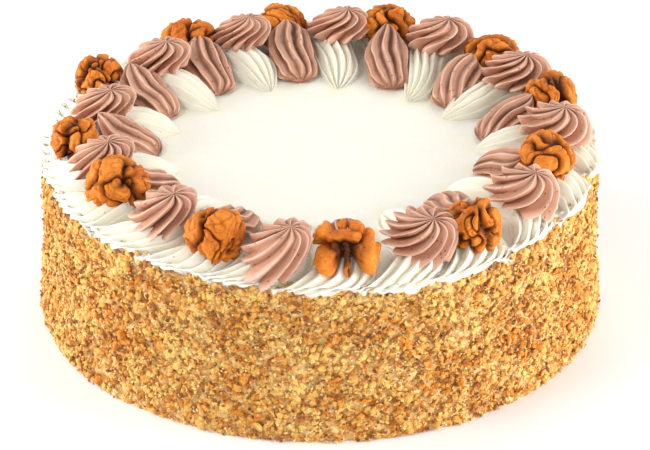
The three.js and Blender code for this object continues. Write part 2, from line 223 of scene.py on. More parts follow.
def shaped(bm: bmesh.types.BMesh, name: str, move: Move) -> bpy.types.Object:
    """Makes an object of a bmesh whose points are moved by a function.

    Args:
        bm: The mesh as its operators left it. It is freed here.
        name: Name of the object.
        move: Takes the points and returns them in millimetres.

    Returns:
        The object, in the scene.
    """
    mesh = bpy.data.meshes.new(name)
    bm.to_mesh(mesh)
    bm.free()
    mesh.vertices.foreach_set("co", (move(corners_of(mesh)) * MM).ravel())
    mesh.polygons.foreach_set("use_smooth", [True] * len(mesh.polygons))
    mesh.update()
    piece = bpy.data.objects.new(name, mesh)
    bpy.context.scene.collection.objects.link(piece)
    return piece


def face_outward(piece: bpy.types.Object) -> None:
    """Turns a closed piece's faces outward."""
    bm = bmesh.new()
    bm.from_mesh(piece.data)
    bmesh.ops.recalc_face_normals(bm, faces=bm.faces)
    if bm.calc_volume(signed=True) < 0.0:
        bmesh.ops.reverse_faces(bm, faces=bm.faces)
    bm.to_mesh(piece.data)
    bm.free()


def mark(piece: bpy.types.Object, name: str, values: np.ndarray) -> None:
    """Stores one number for each point, for the materials to read."""
    attribute = piece.data.attributes.new(name, "FLOAT", "POINT")
    attribute.data.foreach_set("value", values.astype(np.float32))


def sculpted(bm: bmesh.types.BMesh, name: str, laid: Callable, marks: Sequence[str]) -> bpy.types.Object:
    """Makes a closed piece of a bmesh whose points are laid by a function that also measures them.

    Args:
        bm: The mesh as its operators left it. It is freed here.
        name: Name of the piece.
        laid: Takes the points and returns them in millimetres, then one measure of them for each mark.
        marks: Names under which the materials read the measures.

    Returns:
        The piece, its faces outward.
    """
    measures: list = []

    def move(points: np.ndarray) -> np.ndarray:
        """Lays the points and keeps what was measured."""
        placed, *found = laid(points)
        measures.extend(found)
        return placed

    piece = shaped(bm, name, move)
    face_outward(piece)
    for label, values in zip(marks, measures):
        mark(piece, label, values)
    return piece


def ribbed_ball(around: int, rings: int) -> bmesh.types.BMesh:
    """A unit ball of rings and segments, its poles above and below."""
    bm = bmesh.new()
    bmesh.ops.create_uvsphere(bm, u_segments=around, v_segments=rings, radius=1.0)
    return bm


def closed_sheet(across: int, along: int) -> bmesh.types.BMesh:
    """A grid from -1 to 1 each way, its edge folded under and closed.

    Args:
        across: Cells in x.
        along: Cells in y.

    Returns:
        The sheet at z 1 with its closed underside at z 0.
    """
    bm = bmesh.new()
    bmesh.ops.create_grid(bm, x_segments=across, y_segments=along, size=1.0)
    bmesh.ops.translate(bm, vec=(0.0, 0.0, 1.0), verts=bm.verts)
    rim = [edge for edge in bm.edges if edge.is_boundary]
    folded = bmesh.ops.extrude_edge_only(bm, edges=rim)["geom"]
    under = [part for part in folded if isinstance(part, bmesh.types.BMVert)]
    bmesh.ops.translate(bm, vec=(0.0, 0.0, -1.0), verts=under)
    bmesh.ops.holes_fill(bm, edges=[edge for edge in bm.edges if edge.is_boundary], sides=0)
    return bm


def settle(piece: bpy.types.Object, nodes: Sequence[str], finish: bpy.types.Material) -> None:
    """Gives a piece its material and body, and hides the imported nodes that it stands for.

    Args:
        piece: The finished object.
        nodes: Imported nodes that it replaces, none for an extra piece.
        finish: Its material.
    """
    piece.data.materials.clear()
    piece.data.materials.append(finish)
    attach(piece, BODY)
    if nodes:
        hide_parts(*nodes)
    LOG.info("%s: %d faces", piece.name, len(piece.data.polygons))


# ---------------------------------------------------------------- materials


MIX_INPUTS = (0, 6, 7)
MIX_RESULT = 2


class Sheet:
    """A shader tree that is filled node by node."""

    def __init__(self, tree: bpy.types.NodeTree) -> None:
        """Keeps the tree."""
        self.tree = tree

    def feed(self, socket: bpy.types.NodeSocket, value: object) -> None:
        """Links a socket to another node's output, or gives it a number or a colour."""
        if isinstance(value, bpy.types.NodeSocket):
            self.tree.links.new(value, socket)
        else:
            socket.default_value = value

    def add(self, kind: str, values: dict | None = None, **settings: object) -> bpy.types.Node:
        """Adds a node.

        Args:
            kind: The node's type.
            values: Socket name to a number, a colour, or another node's output.
            **settings: Properties of the node.

        Returns:
            The new node.
        """
        node = self.tree.nodes.new(kind)
        for name, value in settings.items():
            setattr(node, name, value)
        for name, value in (values or {}).items():
            self.feed(node.inputs[name], value)
        return node

    def shared(self, tree: bpy.types.NodeTree, values: dict) -> bpy.types.Node:
        """Places a shared group."""
        return self.add("ShaderNodeGroup", values, node_tree=tree)

    def stored(self, name: str) -> bpy.types.NodeSocket:
        """A number that is stored for each point of the mesh."""
        return self.add("ShaderNodeAttribute", attribute_name=name).outputs["Fac"]

    def noise(self, place: object, scale: object, detail: float, bent: float = 0.0) -> bpy.types.NodeSocket:
        """A noise at some coordinates."""
        values = {"Vector": place, "Scale": scale, "Detail": detail, "Distortion": bent}
        return self.add("ShaderNodeTexNoise", values).outputs["Fac"]

    def mix(self, factor: object, low: object, high: object) -> bpy.types.NodeSocket:
        """A colour between two others.

        Args:
            factor: 0 for low and 1 for high, a number or a socket.
            low: First colour or socket.
            high: Second colour or socket.

        Returns:
            The mixed colour's socket.
        """
        node = self.add("ShaderNodeMix", data_type="RGBA")
        for index, value in zip(MIX_INPUTS, (factor, low, high)):
            self.feed(node.inputs[index], (*value, 1.0) if isinstance(value, tuple) else value)
        return node.outputs[MIX_RESULT]

    def math(self, operation: str, *values: object) -> bpy.types.NodeSocket:
        """One sum of numbers or sockets."""
        node = self.add("ShaderNodeMath", operation=operation)
        for socket, value in zip(node.inputs, values):
            self.feed(socket, value)
        return node.outputs[0]

    def span(self, value: object, low: float, high: float, start: float = 0.0, end: float = 1.0) -> object:
        """Stretches a socket's value so that low becomes start and high becomes end."""
        values = {"Value": value, "From Min": low, "From Max": high, "To Min": start, "To Max": end}
        return self.add("ShaderNodeMapRange", values).outputs[0]


def group(name: str, inputs: Sequence[str], outputs: Sequence[str]) -> tuple:
    """Starts a node group with number sockets.

    Args:
        name: Name of the group.
        inputs: Names of its inputs, besides Vector.
        outputs: Names of its outputs.

    Returns:
        The group's sheet, its input node and its output node.
    """
    tree = bpy.data.node_groups.new(name, "ShaderNodeTree")
    tree.interface.new_socket(name="Vector", in_out="INPUT", socket_type="NodeSocketVector")
    for label in inputs:
        tree.interface.new_socket(name=label, in_out="INPUT", socket_type="NodeSocketFloat")
    for label in outputs:
        tree.interface.new_socket(name=label, in_out="OUTPUT", socket_type="NodeSocketFloat")
    sheet = Sheet(tree)
    return sheet, sheet.add("NodeGroupInput"), sheet.add("NodeGroupOutput")


def mottle_group() -> bpy.types.NodeTree:
    """Soft cloudy variation: a broad and a fine noise as one mask.

    Returns:
        The group, with the inputs Broad and Fine for the two scales.
    """
    sheet, given, result = group("mottle", ("Broad", "Fine"), ("Mask", "Grain"))
    place = given.outputs["Vector"]
    broad = sheet.noise(place, given.outputs["Broad"], 3.0)
    fine = sheet.noise(place, given.outputs["Fine"], 4.0)
    sheet.feed(result.inputs["Mask"], sheet.span(broad, 0.32, 0.68))
    sheet.feed(result.inputs["Grain"], sheet.span(fine, 0.3, 0.7))
    return sheet.tree


def pit_group() -> bpy.types.NodeTree:
    """Small scattered air pits.

    Returns:
        The group, with the inputs Scale, and Share for how many cells have a pit.
    """
    sheet, given, result = group("air_pits", ("Scale", "Share"), ("Pit",))
    values = {"Vector": given.outputs["Vector"], "Scale": given.outputs["Scale"]}
    cells = sheet.add("ShaderNodeTexVoronoi", values)
    tone = sheet.add("ShaderNodeSeparateColor", {"Color": cells.outputs["Color"]})
    chosen = sheet.math("LESS_THAN", tone.outputs[0], given.outputs["Share"])
    inside = sheet.span(cells.outputs["Distance"], 0.16, 0.3, 1.0, 0.0)
    sheet.feed(result.inputs["Pit"], sheet.math("MULTIPLY", chosen, inside))
    return sheet.tree


MOTTLE = mottle_group()
PITS = pit_group()


@dataclass(frozen=True)
class Finish:
    """What every finish of the cake shares.

    Attributes:
        name: Name of the material.
        roughness: Roughness of the surface.
        subsurface: Share of light that goes through the surface.
        specular: Strength of the reflection.
        reach: How far that light travels, in metres, for red, green and blue.
    """

    name: str
    roughness: float = 0.5
    subsurface: float = 0.0
    specular: float = 0.3
    reach: tuple = (0.0016, 0.0009, 0.0004)

    def started(self) -> tuple:
        """Starts the material.

        Returns:
            The material, its sheet, its shader and the Object coordinates.
        """
        material = bpy.data.materials.new(self.name)
        material.use_nodes = True
        sheet = Sheet(material.node_tree)
        shader = material.node_tree.nodes["Principled BSDF"]
        shader.inputs["Roughness"].default_value = self.roughness
        shader.inputs["Specular IOR Level"].default_value = self.specular
        shader.inputs["Subsurface Weight"].default_value = self.subsurface
        shader.inputs["Subsurface Radius"].default_value = self.reach
        shader.inputs["Subsurface Scale"].default_value = 1.0
        place = sheet.add("ShaderNodeTexCoord").outputs["Object"]
        return material, sheet, shader, place

    @staticmethod
    def bump(sheet: Sheet, shader: bpy.types.Node, height: bpy.types.NodeSocket, depth: float) -> None:
        """Feeds a height to the shader's normal.

        Args:
            sheet: The material's sheet.
            shader: Its shader.
            height: The height's socket.
            depth: Height of the relief in metres.
        """
        node = sheet.add("ShaderNodeBump", {"Height": height, "Distance": depth})
        sheet.feed(shader.inputs["Normal"], node.outputs["Normal"])


@dataclass(frozen=True)
class Cream(Finish):
    """Piped or spread cream.

    Attributes:
        crest: Colour of the crests, a painted highlight lighter than the flanks.
        flank: Colour of the ribs' flanks.
        valley: Colour of the valleys between the ribs, painted shade.
        pits: Share of cells that hold an air pit.
        pit_shade: Painted shade inside an air pit.
    """

    crest: tuple = (0.87, 0.845, 0.755)
    flank: tuple = (0.87, 0.832, 0.69)
    valley: tuple = (0.84, 0.74, 0.46)
    pits: float = 0.1
    pit_shade: tuple = (0.6, 0.5, 0.35)

    def made(self) -> bpy.types.Material:
        """Builds the material.

        Returns:
            The material.
        """
        material, sheet, shader, place = self.started()
        mottle = sheet.shared(MOTTLE, {"Vector": place, "Broad": 90.0, "Fine": 900.0})
        grain = mottle.outputs["Grain"]
        # Painted highlight and painted shade: the stored groove depth, with a little mottle, runs from the
        # crest colour on the crests to the valley colour deep in the valleys.
        groove_shade_and_mottle = sheet.math("MULTIPLY_ADD", mottle.outputs["Mask"], 0.16, sheet.stored("groove"))
        flank = sheet.mix(sheet.span(groove_shade_and_mottle, 0.0, 0.34), self.crest, self.flank)
        base = sheet.mix(sheet.span(groove_shade_and_mottle, 0.6, 1.1), flank, self.valley)
        pit = sheet.shared(PITS, {"Vector": place, "Scale": 520.0, "Share": self.pits}).outputs["Pit"]
        # Painted shade inside the air pits.
        colour = sheet.mix(sheet.math("MULTIPLY", pit, 0.65), base, self.pit_shade)
        sheet.feed(shader.inputs["Base Color"], colour)
        rough = sheet.span(grain, 0.0, 1.0, self.roughness - 0.06, self.roughness + 0.08)
        sheet.feed(shader.inputs["Roughness"], rough)
        lifted = sheet.math("SUBTRACT", sheet.math("MULTIPLY", grain, 0.35), pit)
        self.bump(sheet, shader, lifted, 0.00028)
        return material


@dataclass(frozen=True)
class Walnut(Finish):
    """The thin skin of a walnut half.

    Attributes:
        lobe: Colour of the rounded lobes.
        light: Colour of the lightest places: a painted highlight on the parts that stand furthest out, mixed
            with random mottle.
        fold: Painted shade deep in the folds and the cleft.
        vein: Colour of the veins in the skin.
    """

    lobe: tuple = (0.5, 0.105, 0.006)
    light: tuple = (0.88, 0.29, 0.03)
    fold: tuple = (0.085, 0.02, 0.003)
    vein: tuple = (0.3, 0.06, 0.004)

    def made(self) -> bpy.types.Material:
        """Builds the material.

        Returns:
            The material.
        """
        material, sheet, shader, place = self.started()
        mottle = sheet.shared(MOTTLE, {"Vector": place, "Broad": 210.0, "Fine": 1400.0})
        grain = mottle.outputs["Grain"]
        # Painted highlight: half of the blend is how far a point stands out, so the proudest lobes get the
        # light colour; the other half is random mottle.
        blend = sheet.math("MULTIPLY", sheet.math("ADD", sheet.stored("tint_and_highlight"), mottle.outputs["Mask"]), 0.5)
        skin = sheet.mix(blend, self.lobe, self.light)
        veins = sheet.noise(place, 420.0, 5.0, 1.2)
        streak = sheet.span(veins, 0.52, 0.72)
        veined = sheet.mix(sheet.math("MULTIPLY", streak, 0.45), skin, self.vein)
        # Painted shade: the stored fold depth darkens the folds and the cleft towards the fold colour.
        sheet.feed(shader.inputs["Base Color"], sheet.mix(sheet.stored("groove"), veined, self.fold))
        sheet.feed(shader.inputs["Roughness"], sheet.span(grain, 0.0, 1.0, 0.36, 0.6))
        self.bump(sheet, shader, sheet.math("MULTIPLY_ADD", grain, 0.5, veins), 0.00035)
        return material


@dataclass(frozen=True)
class ChoppedNut(Finish):
    """Chopped nut of one kind, whose pieces differ at random in colour.

    Attributes:
        dark: Colour of the darkest pieces.
        light: Colour of the lightest pieces.
        fleck: Colour of the skin left on a piece.
        flecks: How much of it shows.
    """

    dark: tuple = (0.72, 0.245, 0.02)
    light: tuple = (1.0, 0.65, 0.19)
    fleck: tuple = (0.42, 0.12, 0.015)
    flecks: float = 0.6

    def made(self) -> bpy.types.Material:
        """Builds the material.

        Returns:
            The material.
        """
        material, sheet, shader, place = self.started()
        mottle = sheet.shared(MOTTLE, {"Vector": place, "Broad": 430.0, "Fine": 1500.0})
        darkened = sheet.math("SUBTRACT", sheet.stored("tint_and_highlight"), 0.35)
        blend = sheet.math("MULTIPLY_ADD", mottle.outputs["Mask"], 0.7, darkened)
        body = sheet.mix(blend, self.dark, self.light)
        spots = sheet.span(sheet.noise(place, 700.0, 4.0), 0.53, 0.66)
        colour = sheet.mix(sheet.math("MULTIPLY", spots, self.flecks), body, self.fleck)
        sheet.feed(shader.inputs["Base Color"], colour)
        self.bump(sheet, shader, mottle.outputs["Grain"], 0.0004)
        return material


# ---------------------------------------------------------------- piped ribs


@dataclass(frozen=True)
class Ribs:
    """The ridges that a star nozzle leaves.

    Attributes:
        count: How many ridges go across or round.
        edge: How rounded a crest is, as a share of its width.
        soft: Share of a plain wave in the ridge's section, 0 for a sharp crest.
        lean: How far a crest leans over to one side, in ridge widths.
        uneven: How much the ridges differ from each other.
        seed: Start of the random draw.
    """

    count: int
    edge: float = 0.16
    soft: float = 0.0
    lean: float = 0.0
    uneven: float = 0.25
    seed: int = 1

    def of_each(self, phase: np.ndarray, low: float, high: float, salt: int) -> np.ndarray:
        """A number that differs from ridge to ridge and changes softly between them.

        Args:
            phase: Place across the ridges, one for each whole ridge.
            low: Least value.
            high: Greatest value.
            salt: Tells one such number from another.

        Returns:
            One value for each place.
        """
        values = np.random.default_rng(self.seed * 101 + salt).uniform(low, high, self.count)
        start = np.floor(phase + 0.5).astype(int)
        share = eased(0.0, 1.0, phase + 0.5 - start)
        here = values[start % self.count]
        before = values[(start - 1) % self.count]
        return before + (here - before) * eased(0.0, 0.5, share)

    def valley(self, phase: np.ndarray) -> np.ndarray:
        """How deep a place lies between the ridges, 0 on a crest and 1 in a valley.

        Args:
            phase: Place across the ridges, a whole number on a crest.

        Returns:
            One depth for each place.
        """
        wave = np.sin(np.pi * phase)
        rounded = np.sqrt(wave * wave + self.edge * self.edge) - self.edge
        depth = rounded / (math.sqrt(1.0 + self.edge * self.edge) - self.edge)
        depth = depth + self.soft * (wave * wave - depth)
        return depth * self.of_each(phase, 1.0 - self.uneven, 1.0, 3)


# ---------------------------------------------------------------- the cake


def turned_body(name: str, outline: Sequence[tuple], steps: int, move: Move) -> bpy.types.Object:
    """Spins an outline round the cake's axis.

    Args:
        name: Name of the piece.
        outline: Pairs of radius and height.
        steps: Steps round.
        move: Takes the turned points and returns them in millimetres.

    Returns:
        The closed piece.
    """
    bm = bmesh.new()
    points = [bm.verts.new((radius, 0.0, z)) for radius, z in outline]
    edges = [bm.edges.new(pair) for pair in zip(points, points[1:])]
    bmesh.ops.spin(
        bm,
        geom=points + edges,
        cent=(0.0, 0.0, 0.0),
        axis=(0.0, 0.0, 1.0),
        dvec=(0.0, 0.0, 0.0),
        angle=2.0 * math.pi,
        steps=steps,
        use_merge=True,
    )
    bmesh.ops.remove_doubles(bm, verts=bm.verts, dist=0.001)
    piece = shaped(bm, name, move)
    face_outward(piece)
    return piece


@dataclass
class CakeBody:
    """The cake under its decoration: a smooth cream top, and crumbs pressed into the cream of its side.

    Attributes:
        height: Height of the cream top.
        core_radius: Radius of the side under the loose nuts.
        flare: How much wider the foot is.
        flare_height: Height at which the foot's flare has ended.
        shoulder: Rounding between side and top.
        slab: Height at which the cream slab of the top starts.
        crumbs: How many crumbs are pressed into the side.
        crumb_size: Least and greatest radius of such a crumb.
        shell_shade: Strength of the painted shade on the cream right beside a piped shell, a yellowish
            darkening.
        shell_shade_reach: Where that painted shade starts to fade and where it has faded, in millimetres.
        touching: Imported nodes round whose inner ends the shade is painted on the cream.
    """

    height: float = 79.3
    core_radius: float = 128.2
    flare: float = 2.6
    flare_height: float = 55.0
    shoulder: float = 3.5
    slab: float = 70.0
    crumbs: int = 5200
    crumb_size: tuple = (1.7, 3.0)
    shell_shade: float = 0.62
    shell_shade_reach: tuple = (1.0, 8.0)
    touching: tuple = ()

    def side_radius(self, z: np.ndarray) -> np.ndarray:
        """Radius of the side under the nuts at some heights."""
        return self.core_radius + self.flare * np.clip(1.0 - z / self.flare_height, 0.0, 1.0) ** 2

    def top_outline(self) -> list:
        """Half of the cream slab's outline.

        Returns:
            Pairs of radius and height.
        """
        edge = self.core_radius - 0.8
        inset, top = edge - self.shoulder, self.height - self.shoulder
        corner = [
            (inset + self.shoulder * math.cos(angle), top + self.shoulder * math.sin(angle))
            for angle in np.radians((0.0, 22.5, 45.0, 67.5, 90.0))
        ]
        flat = [(radius, self.height) for radius in np.linspace(inset, 0.0, 44)[1:]]
        return [(0.0, self.slab), (edge, self.slab)] + corner + flat

    def side_outline(self) -> list:
        """Half of the side's outline, closed through the middle of the cake.

        Returns:
            Pairs of radius and height.
        """
        heights = np.linspace(0.0, self.height - 3.4, 124)
        side = [(float(self.side_radius(np.array(z))), float(z)) for z in heights]
        lid = self.height - 2.4
        return [(0.0, 0.0), (60.0, 0.0), (120.0, 0.0)] + side + [(123.0, lid), (0.0, lid)]

    def build(self, cream: bpy.types.Material, crumbs: bpy.types.Material) -> None:
        """Builds and dresses the cake's body.

        Args:
            cream: Material of the top.
            crumbs: Material of the side.
        """
        top = turned_body("cream_top", self.top_outline(), 288, self.spread)
        # The cream top's groove measure holds only painted shade round the shells' inner ends.
        mark(top, "groove", self.painted_shell_shade(NodePoints.of_piece(top).xyz))
        settle(top, ("cake_drum",), cream)
        bed = turned_body("nut_bed", self.side_outline(), 700, self.rough)
        mark(bed, "tint_and_highlight", 0.5 + 0.3 * Undulation(9, 5.0).at(NodePoints.of_piece(bed).xyz))
        settle(bed, ("cake_drum",), crumbs)

    def painted_shell_shade(self, points: np.ndarray) -> np.ndarray:
        """Painted yellowish shade on the cream top, strongest round the inner ends of the piped shells.

        Args:
            points: The top's points in millimetres.

        Returns:
            One number for each point.
        """
        yellow = np.zeros(len(points))
        for node in self.touching:
            corners = NodePoints.of(node)
            end = corners.xyz[corners.radius.argmin()]
            gap = np.hypot(points[:, 0] - end[0], points[:, 1] - end[1])
            yellow = np.maximum(yellow, self.shell_shade * (1.0 - eased(*self.shell_shade_reach, gap)))
        return yellow

    def spread(self, points: np.ndarray) -> np.ndarray:
        """Makes the spread cream slightly wavy, as a palette knife leaves it."""
        moved = points.copy()
        stretched = points * np.array((1.0, 3.0, 1.0))
        on_top = eased(self.height - 1.0, self.height, points[:, 2])
        waves = 0.22 * Undulation(5, 60.0).at(stretched) + 0.07 * Undulation(6, 17.0).at(stretched)
        moved[:, 2] += on_top * waves
        return moved

    def rough(self, points: np.ndarray) -> np.ndarray:
        """Makes the side lumpy, as crumbs pressed into cream are."""
        radius = np.hypot(points[:, 0], points[:, 1])
        outer = eased(118.0, 126.0, radius)
        draw = np.random.default_rng(17)
        turn = draw.uniform(0.0, 2.0 * np.pi, self.crumbs)
        height = draw.uniform(0.0, self.height, self.crumbs)
        reach = self.side_radius(height)
        tree = KDTree(self.crumbs)
        for index, seat in enumerate(zip(reach * np.cos(turn), reach * np.sin(turn), height)):
            tree.insert(seat, index)
        tree.balance()
        size = draw.uniform(*self.crumb_size, self.crumbs)
        lump = np.zeros(len(points))
        for row in np.flatnonzero(outer > 0.0):
            _, index, gap = tree.find(points[row])
            lump[row] = math.sqrt(max(1.0 - (gap / size[index]) ** 2, 0.0))
        lift = 1.5 * lump - 0.7 + 0.4 * Undulation(8, 9.0).at(points)
        scale = 1.0 + outer * lift / np.maximum(radius, 1.0)
        return points * np.column_stack((scale, scale, np.ones(len(points))))


@dataclass(frozen=True)
class NutKind:
    """One kind of chopped nut in the coat.

    Attributes:
        name: Name of its piece.
        count: How many bits.
        size: Least and greatest size in millimetres.
        flat: Thickness of a bit against its width.
        sunk: How deep a bit sits, as a share of its size.
        proud: Greatest distance that its base stands off the cake's side.
        detail: Subdivision of the ball that a bit is made from.
        seed: Start of the random draw.
        smooth: Whether a bit is rounded rather than chipped.
    """

    name: str
    count: int
    size: tuple
    flat: float
    sunk: float
    proud: float
    detail: int
    seed: int
    smooth: bool = False


@dataclass
class NutCoat:
    """The chopped nuts pressed into the cake's side.

    Attributes:
        cake: The body that they cover.
        top: Height up to which the nuts reach.
        chipped: Least and greatest share to which a bit's corners are chipped.
        brow: How far below the top the coat starts to lean in.
        brow_inset: How far in it leans at the top.
        kinds: The kinds of bits.
    """

    cake: CakeBody
    top: float = 79.0
    chipped: tuple = (0.62, 1.16)
    brow: float = 4.0
    brow_inset: float = 3.4
    kinds: tuple = (
        NutKind("golden_chunks", 2450, (3.2, 7.4), 0.5, 0.12, 0.9, 2, 11, True),
        NutKind("golden_bits", 9400, (2.0, 5.2), 0.55, 0.12, 1.2, 1, 12),
        NutKind("fine_crumbs", 7800, (0.9, 2.5), 0.6, -0.05, 2.1, 1, 17),
        NutKind("tan_bits", 4200, (1.6, 4.6), 0.5, 0.08, 1.4, 1, 13),
        NutKind("pale_crumbs", 5600, (1.0, 2.4), 0.7, 0.0, 1.8, 1, 14),
        NutKind("brown_flecks", 3400, (1.0, 3.0), 0.35, -0.05, 2.2, 1, 15),
        NutKind("dark_bits", 240, (1.2, 2.6), 0.45, -0.05, 2.4, 1, 16),
    )

    def build(self, finishes: dict) -> None:
        """Builds and dresses every kind.

        Args:
            finishes: The material for each kind's name.
        """
        for kind in self.kinds:
            settle(self.scattered(kind), ("cake_drum",), finishes[kind.name])

    def scattered(self, kind: NutKind) -> bpy.types.Object:
        """All bits of one kind as one mesh.

        Args:
            kind: The kind.

        Returns:
            The piece.
        """
        bm = bmesh.new()
        bmesh.ops.create_icosphere(bm, subdivisions=kind.detail, radius=1.0)
        corners = len(bm.verts)
        piece = shaped(bm, kind.name, lambda ball: ball / MM)
        repeat = piece.modifiers.new("repeat", "ARRAY")
        repeat.count = kind.count
        repeat.use_relative_offset = False
        posed = piece.evaluated_get(bpy.context.evaluated_depsgraph_get())
        mesh = bpy.data.meshes.new_from_object(posed)
        piece.modifiers.clear()
        piece.data = mesh
        bits = corners_of(mesh).reshape(kind.count, corners, 3)
        draw = np.random.default_rng(kind.seed)
        mesh.vertices.foreach_set("co", (self.laid(kind, bits, draw) * MM).ravel())
        mesh.polygons.foreach_set("use_smooth", [kind.smooth] * len(mesh.polygons))
        mesh.update()
        own = np.repeat(draw.uniform(-0.5, 0.5, kind.count), corners)
        places = NodePoints.of_piece(piece).xyz
        patch = 0.2 * Undulation(33, 11.0).at(places) + 0.2 * Undulation(34, 34.0).at(places)
        mark(piece, "tint_and_highlight", np.clip(0.55 + 0.5 * own + patch, 0.0, 1.0))
        return piece

    def laid(self, kind: NutKind, bits: np.ndarray, draw: np.random.Generator) -> np.ndarray:
        """Gives every bit its own shape, size, turn and place on the side.

        Args:
            kind: The kind.
            bits: The points of each bit, a unit ball.
            draw: The random draw.

        Returns:
            The points of all bits in millimetres.
        """
        count, corners, _ = bits.shape
        chipped = bits * draw.uniform(*self.chipped, (count, corners, 1))
        slim = draw.uniform(0.55, 1.0, (count, 1, 3)) * np.array((1.0, 1.0, kind.flat))
        size = kind.size[0] + (kind.size[1] - kind.size[0]) * draw.uniform(0.0, 1.0, count) ** 1.3
        sized = chipped * slim * 0.5 * size[:, None, None]
        turn = self.turns(draw.uniform(-0.7, 0.7, (count, 2)), draw.uniform(0.0, 2.0 * np.pi, count))
        tipped = np.einsum("nij,nvj->nvi", turn, sized)
        angle = draw.uniform(0.0, 2.0 * np.pi, count)
        height = np.maximum(draw.uniform(0.0, self.top, count), 0.42 * size)
        seats = np.column_stack((130.0 * np.cos(angle), 130.0 * np.sin(angle), height))
        clump = 0.5 + 0.34 * Undulation(31, 9.0).at(seats)
        stand = kind.proud * np.clip(clump + draw.uniform(-0.35, 0.35, count), 0.0, 1.0)
        lean_in = self.brow_inset * np.clip((height - self.top + self.brow) / self.brow, 0.0, 1.0) ** 2
        radius = self.cake.side_radius(height) + stand + size * (0.2 - kind.sunk) - lean_in
        out = np.column_stack((np.sin(angle), -np.cos(angle), np.zeros(count)))
        side = np.column_stack((np.cos(angle), np.sin(angle), np.zeros(count)))
        centre = out * radius[:, None]
        centre[:, 2] = height
        placed = (
            centre[:, None, :]
            + tipped[:, :, :1] * side[:, None, :]
            + tipped[:, :, 1:2] * np.array((0.0, 0.0, 1.0))
            + tipped[:, :, 2:] * out[:, None, :]
        )
        placed[:, :, 2] = np.maximum(placed[:, :, 2], 0.0)
        return placed.reshape(-1, 3)

    @staticmethod
    def turns(tilt: np.ndarray, spin: np.ndarray) -> np.ndarray:
        """One turning matrix for each bit.

        Args:
            tilt: Tilts about the first two axes, in radians.
            spin: Turn about the third axis.

        Returns:
            A matrix for each bit.
        """
        cos_a, sin_a = np.cos(tilt[:, 0]), np.sin(tilt[:, 0])
        cos_b, sin_b = np.cos(tilt[:, 1]), np.sin(tilt[:, 1])
        cos_c, sin_c = np.cos(spin), np.sin(spin)
        zero, one = np.zeros_like(spin), np.ones_like(spin)
        about_x = np.array([[one, zero, zero], [zero, cos_a, -sin_a], [zero, sin_a, cos_a]])
        about_y = np.array([[cos_b, zero, sin_b], [zero, one, zero], [-sin_b, zero, cos_b]])
        about_z = np.array([[cos_c, -sin_c, zero], [sin_c, cos_c, zero], [zero, zero, one]])
        return np.einsum("ijn,jkn,kln->nil", about_x, about_y, about_z)


# ---------------------------------------------------------------- piped white shells


